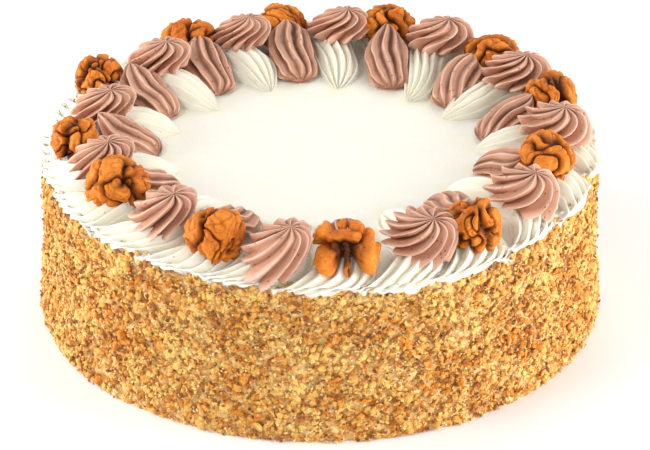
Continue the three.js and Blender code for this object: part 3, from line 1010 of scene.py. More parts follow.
@dataclass
class WhiteShell:
    """One white shell: a ribbed fan over the rim with a tail or a stub that runs inwards.

    Attributes:
        points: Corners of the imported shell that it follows.
        about: An azimuth near its middle.
        long: Whether it has a long tail.
        ribs: Its ridges.
        depth: Depth of the valleys at the fan, in millimetres.
        notch: How much deeper the narrow bottom of a valley goes.
        swirl: How far the ridges sweep across the fan, as a share of its half width.
        least_hem: Least radius of the hem, so that every fan reaches over the rim.
        scallop: How far the hem draws back between the rounded ends of the ridges.
        side_rise: How much higher the fan ends at its sides.
        side_draw: How much further in the fan ends at its sides.
        bed: Height of the cream top that it lies on.
        sole: Height of its closed underside, inside the cream.
        sole_edge: Greatest radius of that underside.
        sole_width: Width of that underside as a share of the shell's.
        crisp: How much deeper the valleys are on the tail than on the fan.
        waver: How much its surface wavers, in millimetres.
        neck: Radius at which the fan has become the tail.
        crest: Height of its back.
        hang_start: Radius past which the fan hangs over the rim.
        hang_slope: How steeply the hem drops past it.
    """

    points: NodePoints
    about: float
    long: bool
    ribs: Ribs
    depth: float = 2.4
    notch: float = 0.9
    swirl: float = 0.3
    least_hem: float = 131.5
    scallop: float = 1.4
    side_rise: float = 1.6
    side_draw: float = 10.0
    bed: float = 79.3
    sole: float = 77.5
    sole_edge: float = 124.0
    sole_width: float = 0.7
    crisp: float = 0.3
    waver: float = 0.22
    neck: float = 108.0
    crest: float = 90.6
    hang_start: float = 129.8
    hang_slope: float = 0.94

    def crest_height(self, radius: np.ndarray | float, hem: float) -> np.ndarray | float:
        """Height of the shell's back at some radii."""
        return self.crest - 0.00021 * np.maximum(radius + 134.6 - hem - 97.0, 0.0) ** 3

    def stations(self, hem: float, tail: float) -> np.ndarray:
        """The shell's outline from under the hem to the tip of the tail.

        Args:
            hem: Radius of the hem.
            tail: Radius of the inner tip.

        Returns:
            Rows of radius, height, half width, sideways shift and azimuth.
        """
        foot = self.bed - self.hang_slope * max(hem - self.hang_start, 0.0)
        brow = self.crest_height(hem - 3.8, hem) + 0.4
        middle = 0.5 * (hem - 8.0 + self.neck)
        rows = [
            (min(hem - 7.0, 125.5), foot + 0.4, 14.0, -2.8),
            (hem - 3.4, foot - 0.7, 16.6, -2.8),
            (hem - 1.0, foot - 0.1, 18.4, -2.4),
            (hem, foot + 1.9, 19.4, -1.8),
            (hem - 0.8, 0.5 * (foot + 1.9 + brow) + 0.6, 20.0, -0.8),
            (hem - 3.8, brow, 20.0, 0.8),
            (hem - 8.0, self.crest_height(hem - 8.0, hem) + 0.4, 18.6, 3.2),
            (middle, self.crest_height(middle, hem), 16.0, 5.4),
            (self.neck, self.crest_height(self.neck, hem), 14.0, 4.4),
        ]
        if self.long:
            length = self.neck - tail
            rows += [
                (tail + 0.7 * length, self.crest, 13.0, 1.6),
                (tail + 0.44 * length, 90.0, 12.6, 0.3),
                (tail + 0.24 * length, 87.4, 10.0, 0.0),
                (tail + 0.11 * length, 84.0, 6.4, 0.0),
                (tail + 0.035 * length, 81.4, 3.0, 0.0),
                (tail, 79.8, 0.7, 0.0),
            ]
        else:
            rows += [(tail + 4.0, 89.0, 9.0, 3.0), (tail + 1.0, 85.0, 6.5, 2.0), (tail, 80.0, 4.0, 1.5)]
        table = np.array(rows)
        azimuth = [self.points.middle_azimuth(max(radius, tail), self.about) for radius in table[:, 0]]
        azimuth[0] = azimuth[1] = azimuth[2]
        smooth = np.convolve(np.pad(azimuth, 1, mode="edge"), (0.25, 0.5, 0.25), mode="valid")
        smooth[-1] = azimuth[-1]
        return np.column_stack((table, smooth))

    def build(self, name: str, nodes: Sequence[str], finish: bpy.types.Material) -> None:
        """Builds and dresses the shell.

        Args:
            name: Name of its piece.
            nodes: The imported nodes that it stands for.
            finish: Its material.
        """
        hem = max(self.points.radius.max(), self.least_hem)
        rows = self.stations(hem, self.points.radius.min())
        flat = closed_sheet(10 * self.ribs.count, 66 if self.long else 52)
        piece = sculpted(flat, name, lambda sheet: self.laid(sheet, rows), ("groove",))
        settle(piece, nodes, finish)

    def laid(self, sheet: np.ndarray, rows: np.ndarray) -> tuple:
        """Places the sheet's points.

        Args:
            sheet: Points from -1 to 1 across and along, at z 1 on the sheet and 0 underneath.
            rows: The stations.

        Returns:
            The points in millimetres and how deep each lies in a groove.
        """
        along = 0.5 + 0.5 * sheet[:, 1]
        step = through(rows, along)
        ahead = through(rows, along + 0.004) - through(rows, along - 0.004)
        length = np.hypot(ahead[:, 0], ahead[:, 1])
        normal_r, normal_z = ahead[:, 1] / length, -ahead[:, 0] / length
        radius, height, half, shift, azimuth = step.T
        phase = (0.5 + 0.5 * sheet[:, 0]) * self.ribs.count
        valley = self.ribs.valley(phase + 0.5)
        bend = self.swirl * (2.0 * eased(0.0, 0.5, along) - 1.0) * (1.0 - eased(0.5, 0.72, along))
        place = sheet[:, 0] + bend * (1.0 - sheet[:, 0] ** 2)
        angle = place * 0.5 * np.pi * 1.04
        drop = np.maximum(height - self.bed + 1.5, 1.2)
        hem_share = 1.0 - eased(0.22, 0.46, along)
        pressed = 0.3 + 0.7 * eased(0.0, 0.16, along)
        off_crest = 2.0 * np.abs(phase + 0.5 - np.round(phase + 0.5))
        tip = 1.0 - np.sqrt(np.maximum(1.0 - off_crest**2, 0.0))
        crisp = 1.0 + self.crisp * eased(0.45, 0.65, along)
        sink = pressed * crisp * np.sqrt(half / 18.0) * (self.depth * valley + self.notch * tip)
        reach = self.ribs.of_each(phase + 0.5, -1.0, 1.0, 7) * hem_share * (1.0 - tip)
        lean = self.ribs.lean * (1.0 - valley) * 2.0 / self.ribs.count
        waves = np.sin(10.0 * np.pi * along + self.ribs.seed)
        flare = np.sin(angle) ** 4 * waves * eased(0.45, 0.6, along)
        across = (0.7 * np.sin(angle) + 0.3 * place) * (1.0 + 0.07 * flare)
        lateral = shift + half * (across + lean)
        radius = radius + normal_r * (reach - sink)
        height = height + normal_z * (0.2 * reach - sink)
        fallen = 1.0 - np.cos(angle)
        raised = self.scallop * tip - 0.8 * reach + self.side_rise * fallen
        height = height + raised * (1.0 - eased(0.1, 0.28, along))
        height = height - drop * fallen * (1.0 - 0.2 * hem_share)
        radius = radius - hem_share * self.side_draw * fallen
        under = sheet[:, 2] < 0.5
        middle_x, middle_y = polar(azimuth, radius)
        cos_a, sin_a = np.cos(np.radians(azimuth)), np.sin(np.radians(azimuth))
        lateral = lateral * np.where(under, self.sole_width, 1.0)
        placed = np.column_stack((middle_x + lateral * cos_a, middle_y + lateral * sin_a, height))
        placed[:, 2] += np.where(under, 0.0, self.waver * Undulation(self.ribs.seed, 11.0).at(placed))
        out = np.hypot(placed[:, 0], placed[:, 1])
        inwards = np.where(under, np.minimum(out, self.sole_edge) / out, 1.0)
        placed[:, :2] *= inwards[:, None]
        placed[under, 2] = self.sole
        # The groove measure drives painted shade: in the valleys, in the notches between ribs and over the
        # whole underside.
        return placed, np.where(under, 1.0, 0.42 * tip + 0.38 * np.clip(valley, 0.0, 1.0) ** 2)


# ---------------------------------------------------------------- cocoa rosettes and shells


@dataclass
class Rosette:
    """One twisted rosette of cocoa cream.

    Attributes:
        node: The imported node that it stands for.
        ribs: Its ridges.
        twist: How far the ridges turn from base to tip, in degrees.
        depth: Depth of the valleys as a share of the radius.
        slit: How much deeper the narrow bottom of a valley goes.
        sunk: How deep the rosette sinks into what it rests on, in millimetres.
        waver: How much its surface wavers, in millimetres.
        rings: Steps from tip to base.
        around: Steps round each ridge.
        edge: Share of the ball, from its pole, that is seen from above. The rest is the underside.
        droop: How far the edge hangs lower where it passes the rim.
        moved: How far it lies from its packed place, in millimetres.
        tip_moved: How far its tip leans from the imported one.
        profile: Rows of height share and radius share from the tip down.
    """

    node: str
    ribs: Ribs
    twist: float = -66.0
    depth: float = 0.32
    slit: float = 0.14
    sunk: float = 1.4
    waver: float = 0.28
    rings: int = 60
    around: int = 18
    edge: float = 0.84
    droop: float = 3.0
    moved: tuple = (0.0, 0.0, 0.0)
    tip_moved: tuple = (0.0, 0.0, 0.0)
    profile: tuple = (
        (1.0, 0.0),
        (0.975, 0.07),
        (0.94, 0.22),
        (0.885, 0.45),
        (0.76, 0.72),
        (0.52, 0.93),
        (0.24, 1.0),
        (0.0, 0.96),
    )

    def build(self, finish: bpy.types.Material) -> None:
        """Builds and dresses the rosette."""
        points = NodePoints.of(self.node)
        name = self.node.replace("cocoa_rosette", "rosette")
        bm = ribbed_ball(self.around * self.ribs.count, self.rings)
        piece = sculpted(bm, name, lambda ball: self.laid(ball, points), ("groove",))
        settle(piece, (self.node,), finish)

    def rest(self, points: NodePoints, centre: np.ndarray) -> Callable:
        """The surface that the rosette's edge rests on.

        Args:
            points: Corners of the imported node.
            centre: Middle of the rosette in plan.

        Returns:
            A function of x and y offsets from the middle that gives a height.
        """
        offset = points.xyz[:, :2] - centre
        reach = np.hypot(offset[:, 0], offset[:, 1])
        heading = np.arctan2(offset[:, 1], offset[:, 0])
        sectors = np.linspace(-np.pi, np.pi, 24, endpoint=False)
        lows = []
        for sector in sectors:
            gap = np.abs((heading - sector + np.pi) % (2.0 * np.pi) - np.pi)
            lows.append(points.xyz[(gap < 0.3) & (reach > 0.75 * reach.max()), 2].min())
        once = [np.ones_like(sectors), np.cos(sectors), np.sin(sectors)]
        waves = np.column_stack([*once, np.cos(2 * sectors), np.sin(2 * sectors)])
        parts, *_ = np.linalg.lstsq(waves, np.array(lows), rcond=None)
        outward = math.atan2(centre[1], centre[0])
        size = reach.max()

        def height(x: np.ndarray, y: np.ndarray) -> np.ndarray:
            """Height of the rest at an offset from the middle."""
            angle = np.arctan2(y, x)
            share = np.clip(np.hypot(x, y) / size, 0.0, 1.1) ** 2
            edge = parts[1] * np.cos(angle) + parts[2] * np.sin(angle)
            edge = edge + parts[3] * np.cos(2 * angle) + parts[4] * np.sin(2 * angle)
            over = np.maximum(np.cos(angle - outward), 0.0) ** 2
            return parts[0] + share * (edge - self.droop * over)

        return height

    def laid(self, ball: np.ndarray, points: NodePoints) -> tuple:
        """Places the ball's points.

        Args:
            ball: Points of a unit ball.
            points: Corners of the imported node.

        Returns:
            The points in millimetres and how deep each lies in a groove.
        """
        low, high = points.low, points.high
        centre = 0.5 * (low + high)[:2]
        size = 0.24 * (high - low)[:2].sum()
        tip = points.top + np.array(self.tip_moved)
        rest = self.rest(points, centre)
        angle = np.arctan2(ball[:, 1], ball[:, 0])
        down = np.arccos(np.clip(ball[:, 2], -1.0, 1.0)) / np.pi
        seen = np.clip(down / self.edge, 0.0, 1.0)
        under = np.clip((down - self.edge) / (1.0 - self.edge), 0.0, 1.0)
        table = np.array(self.profile)
        share = through(table, seen**0.9)
        height_share, width = share[:, 0], np.maximum(share[:, 1], 0.0)
        phase = angle / (2.0 * np.pi) * self.ribs.count
        angle = angle - np.radians(self.twist) * (height_share**0.85)
        valley = self.ribs.valley(phase)
        off_crest = 2.0 * np.abs(phase - np.round(phase))
        blunt = 0.75 * (1.0 - eased(0.0, 0.4, height_share))
        valley = valley + blunt * (1.0 - np.sqrt(np.maximum(1.0 - off_crest**2, 0.0)) - valley)
        deep = self.depth * (1.35 - 0.4 * height_share) + 0.3 * eased(0.84, 0.95, height_share)
        crest = 1.0 - valley
        reach = self.ribs.of_each(phase, -0.04, 0.12, 5) * (1.0 - height_share) ** 2 * crest
        slit = self.slit * eased(0.7, 1.0, valley)
        scale = width * (1.0 - deep * valley - slit + reach)
        leaned = angle + self.ribs.lean * crest * (2.0 * np.pi / self.ribs.count)
        outward = math.atan2(centre[1], centre[0])
        over = np.maximum(np.cos(angle - outward), 0.0) ** 2
        spread = size * scale * (1.0 - under) * (1.0 + 0.13 * over * (1.0 - height_share) ** 2)
        x = centre[0] + spread * np.cos(leaned)
        y = centre[1] + spread * np.sin(leaned)
        x = x + (tip[0] - centre[0]) * height_share**1.3
        y = y + (tip[1] - centre[1]) * height_share**1.3
        base = rest(x - centre[0], y - centre[1]) - self.sunk
        inner = np.maximum(-np.cos(angle - outward), 0.0)
        height = base + (tip[2] - base) * height_share ** (1.0 - 0.5 * inner)
        height = height - under * 1.5
        placed = np.column_stack((x, y, height))
        waver = self.waver * (1.0 - height_share) * Undulation(self.ribs.seed, 9.0).at(placed)
        placed += waver[:, None]
        placed += np.array(self.moved)
        # The groove measure drives painted shade in the valleys, darker towards the tip.
        return placed, np.clip(valley, 0.0, 1.0) * (0.8 + 0.35 * eased(0.7, 0.95, height_share))


@dataclass
class CocoaShell:
    """One leaning shell of cocoa cream, blunt at its inner end and pointed at its tip.

    Attributes:
        node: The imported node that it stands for.
        ribs: Its ridges, counted all round.
        sway: How far the ridges swing sideways, in degrees.
        depth: Depth of the valleys as a share of the section.
        slit: How much deeper the narrow bottom of a valley goes.
        sunk: How deep the shell sinks into the cream, in millimetres.
        waver: How much its surface wavers, in millimetres.
        rings: Steps from end to tip.
        around: Steps round each ridge.
        half_width: Half of the greatest width.
        bed: Height of the cream top that it lies on.
        lowered: How much lower its back is than usual, as a share.
        waist: Height at which a section is widest, as a share of its height.
        barrel: How much fuller it is towards the tip and slimmer at the inner end.
        fuller: How much rounder its tip is.
        sections: Rows of share along, width share, underside and back above the bed.
    """

    node: str
    ribs: Ribs
    sway: float = 16.0
    depth: float = 0.23
    slit: float = 0.1
    sunk: float = 0.3
    waver: float = 0.2
    rings: int = 58
    around: int = 14
    half_width: float = 11.4
    bed: float = 79.3
    lowered: float = 0.0
    waist: float = 0.36
    barrel: float = 0.12
    fuller: float = 0.0
    sections: tuple = (
        (0.0, 0.3, 1.0, 3.0),
        (0.05, 0.78, 0.3, 6.4),
        (0.16, 0.98, 0.0, 9.4),
        (0.36, 1.04, 0.0, 12.8),
        (0.6, 0.95, 1.0, 15.2),
        (0.8, 0.7, 4.0, 16.6),
        (0.93, 0.38, 9.0, 16.9),
        (1.0, 0.03, 16.2, 16.7),
    )

    def build(self, finish: bpy.types.Material) -> None:
        """Builds and dresses the shell."""
        points = NodePoints.of(self.node)
        name = self.node.replace("cocoa_shell", "cocoa_lean")
        bm = ribbed_ball(self.around * self.ribs.count, self.rings)
        piece = sculpted(bm, name, lambda ball: self.laid(ball, points), ("groove",))
        settle(piece, (self.node,), finish)

    def laid(self, ball: np.ndarray, points: NodePoints) -> tuple:
        """Places the ball's points.

        Args:
            ball: Points of a unit ball.
            points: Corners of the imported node.

        Returns:
            The points in millimetres and how deep each lies in a groove.
        """
        tip = points.top
        distance = np.hypot(*(points.xyz[:, :2] - tip[:2]).T)
        inner = points.xyz[distance > distance.max() - 1.0].mean(axis=0)
        axis = tip[:2] - inner[:2]
        length = np.hypot(*axis)
        axis = axis / length
        side = np.array((-axis[1], axis[0]))
        polar_share = np.arccos(np.clip(-ball[:, 2], -1.0, 1.0)) / np.pi
        along, width, low, high = through(np.array(self.sections), polar_share).T
        fullness = self.barrel * np.sin(2.0 * np.pi * (along - 0.5)) * eased(1.0, 0.9, along)
        width = width * (1.0 + fullness)
        width = width + self.fuller * 0.24 * np.exp(-(((along - 0.86) / 0.12) ** 2))
        high = high * (1.0 - self.lowered * eased(0.0, 0.3, along))
        low = np.minimum(low, high - 0.4)
        angle = np.arctan2(ball[:, 1], ball[:, 0])
        phase = angle / (2.0 * np.pi) * self.ribs.count
        angle = angle - np.radians(self.sway) * np.sin(np.pi * (along - 0.15) * 1.3)
        valley = self.ribs.valley(phase)
        slit = self.slit * eased(0.7, 1.0, valley)
        strength = 0.6 + 0.5 * np.sin(np.pi * np.clip(along, 0.0, 1.0))
        shrink = 1.0 - (self.depth * valley + slit) * strength
        leaned = angle + self.ribs.lean * (1.0 - valley) * (2.0 * np.pi / self.ribs.count)
        across = self.half_width * width * shrink * np.cos(leaned)
        middle = self.bed + low + self.waist * (high - low)
        part = np.where(np.sin(leaned) > 0.0, 1.0 - self.waist, self.waist)
        rise = part * (high - low) * np.sin(leaned) * shrink
        blunt = (1.0 - along) * (1.0 - valley) * (1.0 - eased(0.0, 0.25, along))
        forward = along * length + 1.6 * blunt
        x = inner[0] + axis[0] * forward + side[0] * across
        y = inner[1] + axis[1] * forward + side[1] * across
        placed = np.column_stack((x, y, middle + rise - self.sunk))
        placed += (self.waver * Undulation(self.ribs.seed, 9.0).at(placed))[:, None]
        # The groove measure drives painted shade in the valleys.
        return placed, np.clip(valley, 0.0, 1.0)


# ---------------------------------------------------------------- walnut halves


MIDDLE = np.array((0.0, 0.0, 0.1))


@dataclass(frozen=True)
class Ridge:
    """One rounded ridge of a walnut half, a row of balls.

    Attributes:
        path: Corners of its middle line, in shares of the half's size.
        thick: Radius of the balls at its start and at its end.
    """

    path: tuple
    thick: tuple

    def balls(self) -> np.ndarray:
        """The balls along the ridge.

        Returns:
            Rows of centre and radius.
        """
        corners = np.array(self.path, dtype=float)
        share = np.linspace(0.0, 1.0, 4 * len(corners) + 1)
        middle = through(corners, share) if len(corners) > 1 else corners
        radius = np.linspace(self.thick[0], self.thick[1], len(middle))
        return np.column_stack((middle, radius))


@dataclass
class WalnutHalf:
    """One walnut half, a dome of rounded lobes with a cleft through its middle.

    Attributes:
        node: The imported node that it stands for.
        turn: Direction of the cleft, in degrees.
        tilt: How far the dome tips towards its front, in degrees.
        seed: Start of the random draw.
        drawn: Ridges laid out one by one, each a path and its thickness, or none for a folded dome.
        moved: How far it lies from its packed place, in millimetres.
        detail: Subdivision of the ball that it is made from.
        core: Radius of the flesh under the ridges.
        lobe: Distance between creases of the same kind, as a share of the half's size.
        creases: Width and depth of the creases between lobes.
        wrinkles: Width and depth of the small wrinkles on them.
        cleft: Width and depth of the cleft.
        swell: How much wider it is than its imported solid.
        squat: Its height as a share of its width.
        sole: Height at which its underside ends, inside the cream.
    """

    node: str
    turn: float
    tilt: float
    seed: int
    drawn: tuple = ()
    moved: tuple = (0.0, 0.0, 0.0)
    detail: int = 6
    core: float = 0.36
    lobe: float = 1.0
    creases: tuple = (0.62, 0.3)
    wrinkles: tuple = (0.6, 0.06)
    cleft: tuple = (0.11, 0.24)
    swell: float = 1.06
    squat: float = 1.0
    sole: float = 80.5

    def build(self, finish: bpy.types.Material) -> None:
        """Builds and dresses the walnut half."""
        points = NodePoints.of(self.node)
        name = self.node.replace("walnut_half", "walnut")
        bm = bmesh.new()
        bmesh.ops.create_icosphere(bm, subdivisions=self.detail, radius=1.0)
        piece = sculpted(bm, name, lambda ball: self.laid(ball, points), ("groove", "tint_and_highlight"))
        settle(piece, (self.node,), finish)

    def laid(self, ball: np.ndarray, points: NodePoints) -> tuple:
        """Places the ball's points.

        Args:
            ball: Points of a unit ball.
            points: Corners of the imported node.

        Returns:
            The points in millimetres, how deep each lies in a fold and how far out it stands.
        """
        reach, fold = self.ridged(ball) if self.drawn else self.folded(ball)
        return self.set_down(ball, reach, fold, points)

    def ridged(self, ball: np.ndarray) -> tuple:
        """A dome of the ridges that are laid out one by one.

        Args:
            ball: Points of a unit ball.

        Returns:
            How far each point stands from the middle, and how deep it lies in a fold.
        """
        warp = [Undulation(self.seed * 7 + axis, 0.75).at(ball) for axis in range(3)]
        ball = ball + 0.075 * np.column_stack(warp)
        ball = ball / np.linalg.norm(ball, axis=1, keepdims=True)
        reach = np.full(len(ball), self.core)
        second = np.full(len(ball), self.core * 0.9)
        for path, thick in self.drawn:
            balls = Ridge(path, thick).balls()
            origin = MIDDLE - balls[:, :3]
            across = ball @ origin.T
            inside = across**2 - (origin**2).sum(axis=1) + balls[:, 3] ** 2
            hits = np.where(inside > 0.0, np.sqrt(np.maximum(inside, 0.0)) - across, 0.0)
            hit = hits.max(axis=1)
            second = np.where(hit > reach, reach, np.maximum(second, hit))
            reach = np.maximum(reach, hit)
        gap = np.clip((reach - second) / 0.16, 0.0, 1.0)
        # The fold measure, later painted as shade, marks the gaps between ridges and every low place.
        fold = (1.0 - eased(0.0, 0.7, gap)) * eased(0.96, 0.66, reach)
        return reach, np.maximum(fold, eased(0.78, 0.56, reach))

    def folded(self, ball: np.ndarray) -> tuple:
        """A dome that meandering creases and a cleft part into rounded lobes.

        Args:
            ball: Points of a unit ball.

        Returns:
            How far each point stands from the middle, and how deep it lies in a crease.
        """
        warp = [Undulation(self.seed * 3 + axis, 1.1).at(ball) for axis in range(3)]
        bent = ball + 0.16 * np.column_stack(warp)
        broad = np.abs(Undulation(self.seed, self.lobe, 9).at(bent))
        fine = np.abs(Undulation(self.seed + 50, 0.5 * self.lobe, 9).at(bent))
        crease = np.clip(1.0 - broad / self.creases[0], 0.0, 1.0)
        small = np.clip(1.0 - fine / self.wrinkles[0], 0.0, 1.0)
        cleft = np.exp(-((bent[:, 0] / self.cleft[0]) ** 2))
        body = 0.94 + 0.07 * Undulation(self.seed + 70, 1.5).at(ball)
        lobes = np.sqrt(1.0 - crease**2)
        reach = body - self.creases[1] * (1.0 - lobes)
        reach = reach - self.cleft[1] * cleft - self.wrinkles[1] * small**2
        # The crease measure, later painted as shade, is strongest in the creases and the cleft.
        return reach, np.clip(1.25 * crease**3 + 0.9 * cleft + 0.3 * small**3, 0.0, 1.0)

    def set_down(self, ball: np.ndarray, reach: np.ndarray, fold: np.ndarray, points: NodePoints) -> tuple:
        """Wrinkles the shape and lays it on the cream, turned and tipped.

        Args:
            ball: Points of a unit ball.
            reach: How far each point stands from the middle.
            fold: How deep each lies in a fold.
            points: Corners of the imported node.

        Returns:
            The points in millimetres, how deep each lies in a fold and how far out it stands.
        """
        grain = Undulation(self.seed * 5, 0.26).at(ball)
        wrinkle = 0.016 * grain - 0.035 * np.abs(Undulation(self.seed, 0.45).at(ball))
        place = MIDDLE + ball * (reach + wrinkle)[:, None]
        tip, spin = math.radians(self.tilt), math.radians(self.turn)
        up = place[:, 1] * math.sin(tip) + place[:, 2] * math.cos(tip)
        back = place[:, 1] * math.cos(tip) - place[:, 2] * math.sin(tip)
        x = place[:, 0] * math.cos(spin) - back * math.sin(spin)
        y = place[:, 0] * math.sin(spin) + back * math.cos(spin)
        low, high = points.low, points.high
        moved = np.array(self.moved)
        centre = 0.5 * (low + high) + moved
        size = 0.5 * (high - low)[:2] * self.swell
        tall = 0.5 * size.sum() * self.squat
        placed = np.column_stack(
            (
                centre[0] + size[0] * (2.0 * (x - x.min()) / np.ptp(x) - 1.0),
                centre[1] + size[1] * (2.0 * (y - y.min()) / np.ptp(y) - 1.0),
                np.maximum(high[2] + moved[2] + tall * (up - up.max()), self.sole),
            )
        )
        # How far out a point stands is returned for the painted highlight.
        return placed, np.clip(fold, 0.0, 1.0), eased(0.8, 1.02, reach)


# ---------------------------------------------------------------- floor, lights and camera


@dataclass
class Studio:
    """The pale floor, the soft lights and the camera.

    Attributes:
        distance: From the camera to the middle of the cake's foot, in metres.
        elevation: Height of the camera above the horizon, in radians.
        pitch: How far the camera looks down, in radians.
        yaw: How far it looks to the side, in radians.
        lens: Focal length in millimetres.
        sensor: Width of its sensor in millimetres.
        aim: What the lights face.
        sky_strength: Strength of the even light from all round.
        lamps: Rows of name, place, length of a side in metres and power in watts.
    """

    distance: float = 2.16642
    elevation: float = 0.527706
    pitch: float = 0.512091
    yaw: float = -0.00128
    lens: float = 251.37
    sensor: float = 36.0
    aim: tuple = (0.0, 0.0, 0.07)
    sky_strength: float = 0.36
    lamps: tuple = (
        ("key", (-0.75, -0.45, 1.05), 0.45, 5.5),
        ("back", (0.25, 1.0, 0.9), 0.8, 5.8),
        ("right", (1.1, -0.25, 0.22), 0.9, 20.0),
        ("left", (-1.1, 0.1, 0.22), 0.9, 18.0),
        ("front", (0.3, -1.5, 0.55), 0.9, 8.2),
    )

    def build(self) -> None:
        """Builds the floor, the lights and the camera."""
        self.floor()
        self.sky()
        for lamp in self.lamps:
            self.light(*lamp)
        self.camera()

    def floor(self) -> None:
        """Lays the floor."""
        bm = bmesh.new()
        bmesh.ops.create_grid(bm, x_segments=2, y_segments=2, size=6000.0)
        floor = shaped(bm, "floor", lambda points: points)
        material = bpy.data.materials.new("floor_paint")
        material.use_nodes = True
        shader = material.node_tree.nodes["Principled BSDF"]
        shader.inputs["Base Color"].default_value = (0.95, 0.95, 0.95, 1.0)
        shader.inputs["Roughness"].default_value = 0.9
        floor.data.materials.append(material)

    def sky(self) -> None:
        """Lights the studio evenly from all round."""
        world = bpy.data.worlds.new("studio")
        world.use_nodes = True
        background = world.node_tree.nodes["Background"]
        background.inputs["Color"].default_value = (1.0, 1.0, 1.0, 1.0)
        background.inputs["Strength"].default_value = self.sky_strength
        bpy.context.scene.world = world
        bpy.context.scene.view_settings.view_transform = "Standard"

    def light(self, name: str, place: tuple, size: float, power: float) -> None:
        """Adds one soft square light that faces the cake.

        Args:
            name: Name of the light.
            place: Where it stands, in metres.
            size: Length of its side.
            power: Power in watts.
        """
        data = bpy.data.lights.new(name, "AREA")
        data.size = size
        data.energy = power
        lamp = bpy.data.objects.new(name, data)
        lamp.location = place
        aim = np.array(self.aim) - np.array(place)
        flat = math.hypot(aim[0], aim[1])
        lamp.rotation_euler = (math.atan2(flat, -aim[2]), 0.0, math.atan2(-aim[0], aim[1]))
        bpy.context.scene.collection.objects.link(lamp)

    def camera(self) -> None:
        """Places the camera."""
        data = bpy.data.cameras.new("camera")
        data.lens = self.lens
        data.sensor_width = self.sensor
        data.clip_end = 50.0
        camera = bpy.data.objects.new("camera", data)
        back, up = math.cos(self.elevation), math.sin(self.elevation)
        camera.location = (0.0, -self.distance * back, self.distance * up)
        camera.rotation_euler = (0.5 * math.pi - self.pitch, 0.0, self.yaw)
        bpy.context.scene.collection.objects.link(camera)
        bpy.context.scene.camera = camera


# ---------------------------------------------------------------- the whole cake

PLACES = range(1, 13)
PAIRED = 8
PAIR_NODE = "white_shell_pair_08"
FAN_START = 118.0
TAIL_END = 98.0
WALNUT_MOVES = {
    1: (-1.0, 1.5, 1.6),
    2: (-2.0, 2.5, 3.0),
    3: (-2.0, 3.0, 3.0),
    4: (-2.0, 1.5, 2.0),
    11: (1.0, 3.0, 2.5),
    12: (1.0, 2.5, 3.0),
}
FULL_TIPS = {3: 0.5, 5: 0.8, 7: 1.0, 8: 0.4, 9: 0.7, 11: 0.5}
ROSETTE_MOVES = {
    1: ((-1.6, 0.5, 0.5), (3.6, -0.5, 0.0)),
    2: ((-3.5, 3.0, 1.0), (3.5, -7.0, -1.0)),
    3: ((-1.0, 0.5, 0.5), (3.5, -3.0, -0.5)),
    10: ((0.0, 0.0, 0.0), (0.5, -4.5, -1.0)),
    11: ((0.0, 0.0, 0.0), (0.5, -4.0, -1.0)),
    12: ((-1.0, 4.0, 1.0), (1.5, -5.0, -1.0)),
}
WALNUT_TURNS = (0, 25, 60, 40, 100, 15, 80, 10, 120, -20, 35, -35)
WALNUT_TILTS = (60, 45, 35, 30, 30, 20, 25, 30, 30, 35, 40, 45)
FRONT_WALNUT = (
    (((-0.62, 0.53, 0.3),), (0.25, 0.25)),
    (((-0.11, 0.7, 0.3),), (0.18, 0.18)),
    (((-0.47, 0.36, 0.44), (-0.08, 0.47, 0.54), (0.28, 0.4, 0.5)), (0.16, 0.17)),
    (((0.34, 0.6, 0.34),), (0.23, 0.23)),
    (((0.68, 0.42, 0.24),), (0.2, 0.2)),
    (((0.66, 0.2, 0.36), (0.7, -0.2, 0.42), (0.66, -0.58, 0.3)), (0.22, 0.25)),
    (((0.4, 0.12, 0.5), (0.44, -0.22, 0.5)), (0.13, 0.12)),
    (((0.92, 0.02, 0.1), (0.9, -0.34, 0.1)), (0.13, 0.13)),
    (((-0.6, -0.2, 0.42), (-0.62, -0.5, 0.36)), (0.29, 0.31)),
    (((-0.9, 0.14, 0.1), (-0.84, 0.3, 0.14)), (0.14, 0.16)),
    (((-0.33, 0.1, 0.46), (-0.3, -0.14, 0.46)), (0.13, 0.1)),
    (((0.01, 0.2, 0.5), (0.02, -0.2, 0.54), (0.02, -0.6, 0.46), (0.02, -0.92, 0.3)), (0.11, 0.035)),
)


class Nut(Enum):
    """The colours of the chopped nuts."""

    GOLDEN_CHUNKS = ChoppedNut("golden_chunk_nut", 0.6, 0.4)
    GOLDEN_BITS = ChoppedNut("golden_bit_nut", 0.6, 0.4, dark=(0.72, 0.245, 0.015), light=(1.0, 0.67, 0.2))
    TAN_BITS = ChoppedNut("tan_bit_nut", 0.6, dark=(0.32, 0.08, 0.01), light=(0.74, 0.28, 0.05))
    FINE_CRUMBS = ChoppedNut("fine_crumb_nut", 0.6, dark=(0.6, 0.19, 0.02), light=(1.0, 0.72, 0.24))
    PALE_CRUMBS = ChoppedNut("pale_crumb_nut", 0.7, dark=(0.9, 0.55, 0.2), light=(1.0, 0.78, 0.4), flecks=0.1)
    BROWN_FLECKS = ChoppedNut("brown_fleck_nut", 0.5, dark=(0.14, 0.035, 0.008), light=(0.4, 0.13, 0.025))
    DARK_BITS = ChoppedNut("dark_bit_nut", 0.5, dark=(0.05, 0.015, 0.006), light=(0.14, 0.05, 0.015))
    NUT_BED = ChoppedNut("bed_crumbs", 0.65, dark=(0.66, 0.26, 0.035), light=(1.0, 0.76, 0.34), flecks=0.4)


def white_points(number: int, long: bool) -> NodePoints:
    """Corners of one packed white shell. The joined pair takes its fans from the shells beside it.

    Args:
        number: Place of the shell.
        long: Whether it is the long one of the place.

    Returns:
        The corners.
    """
    if number != PAIRED:
        return NodePoints.of(f"white_{'long' if long else 'short'}_shell_{number:02d}")
    if not long:
        return NodePoints.of("white_short_shell_07").turned(24.0)
    tail = NodePoints.of(PAIR_NODE)
    fan = NodePoints.of("white_long_shell_09").turned(-26.0)
    return NodePoints(np.vstack((tail.xyz[tail.radius < TAIL_END], fan.xyz[fan.radius >= TAIL_END])))


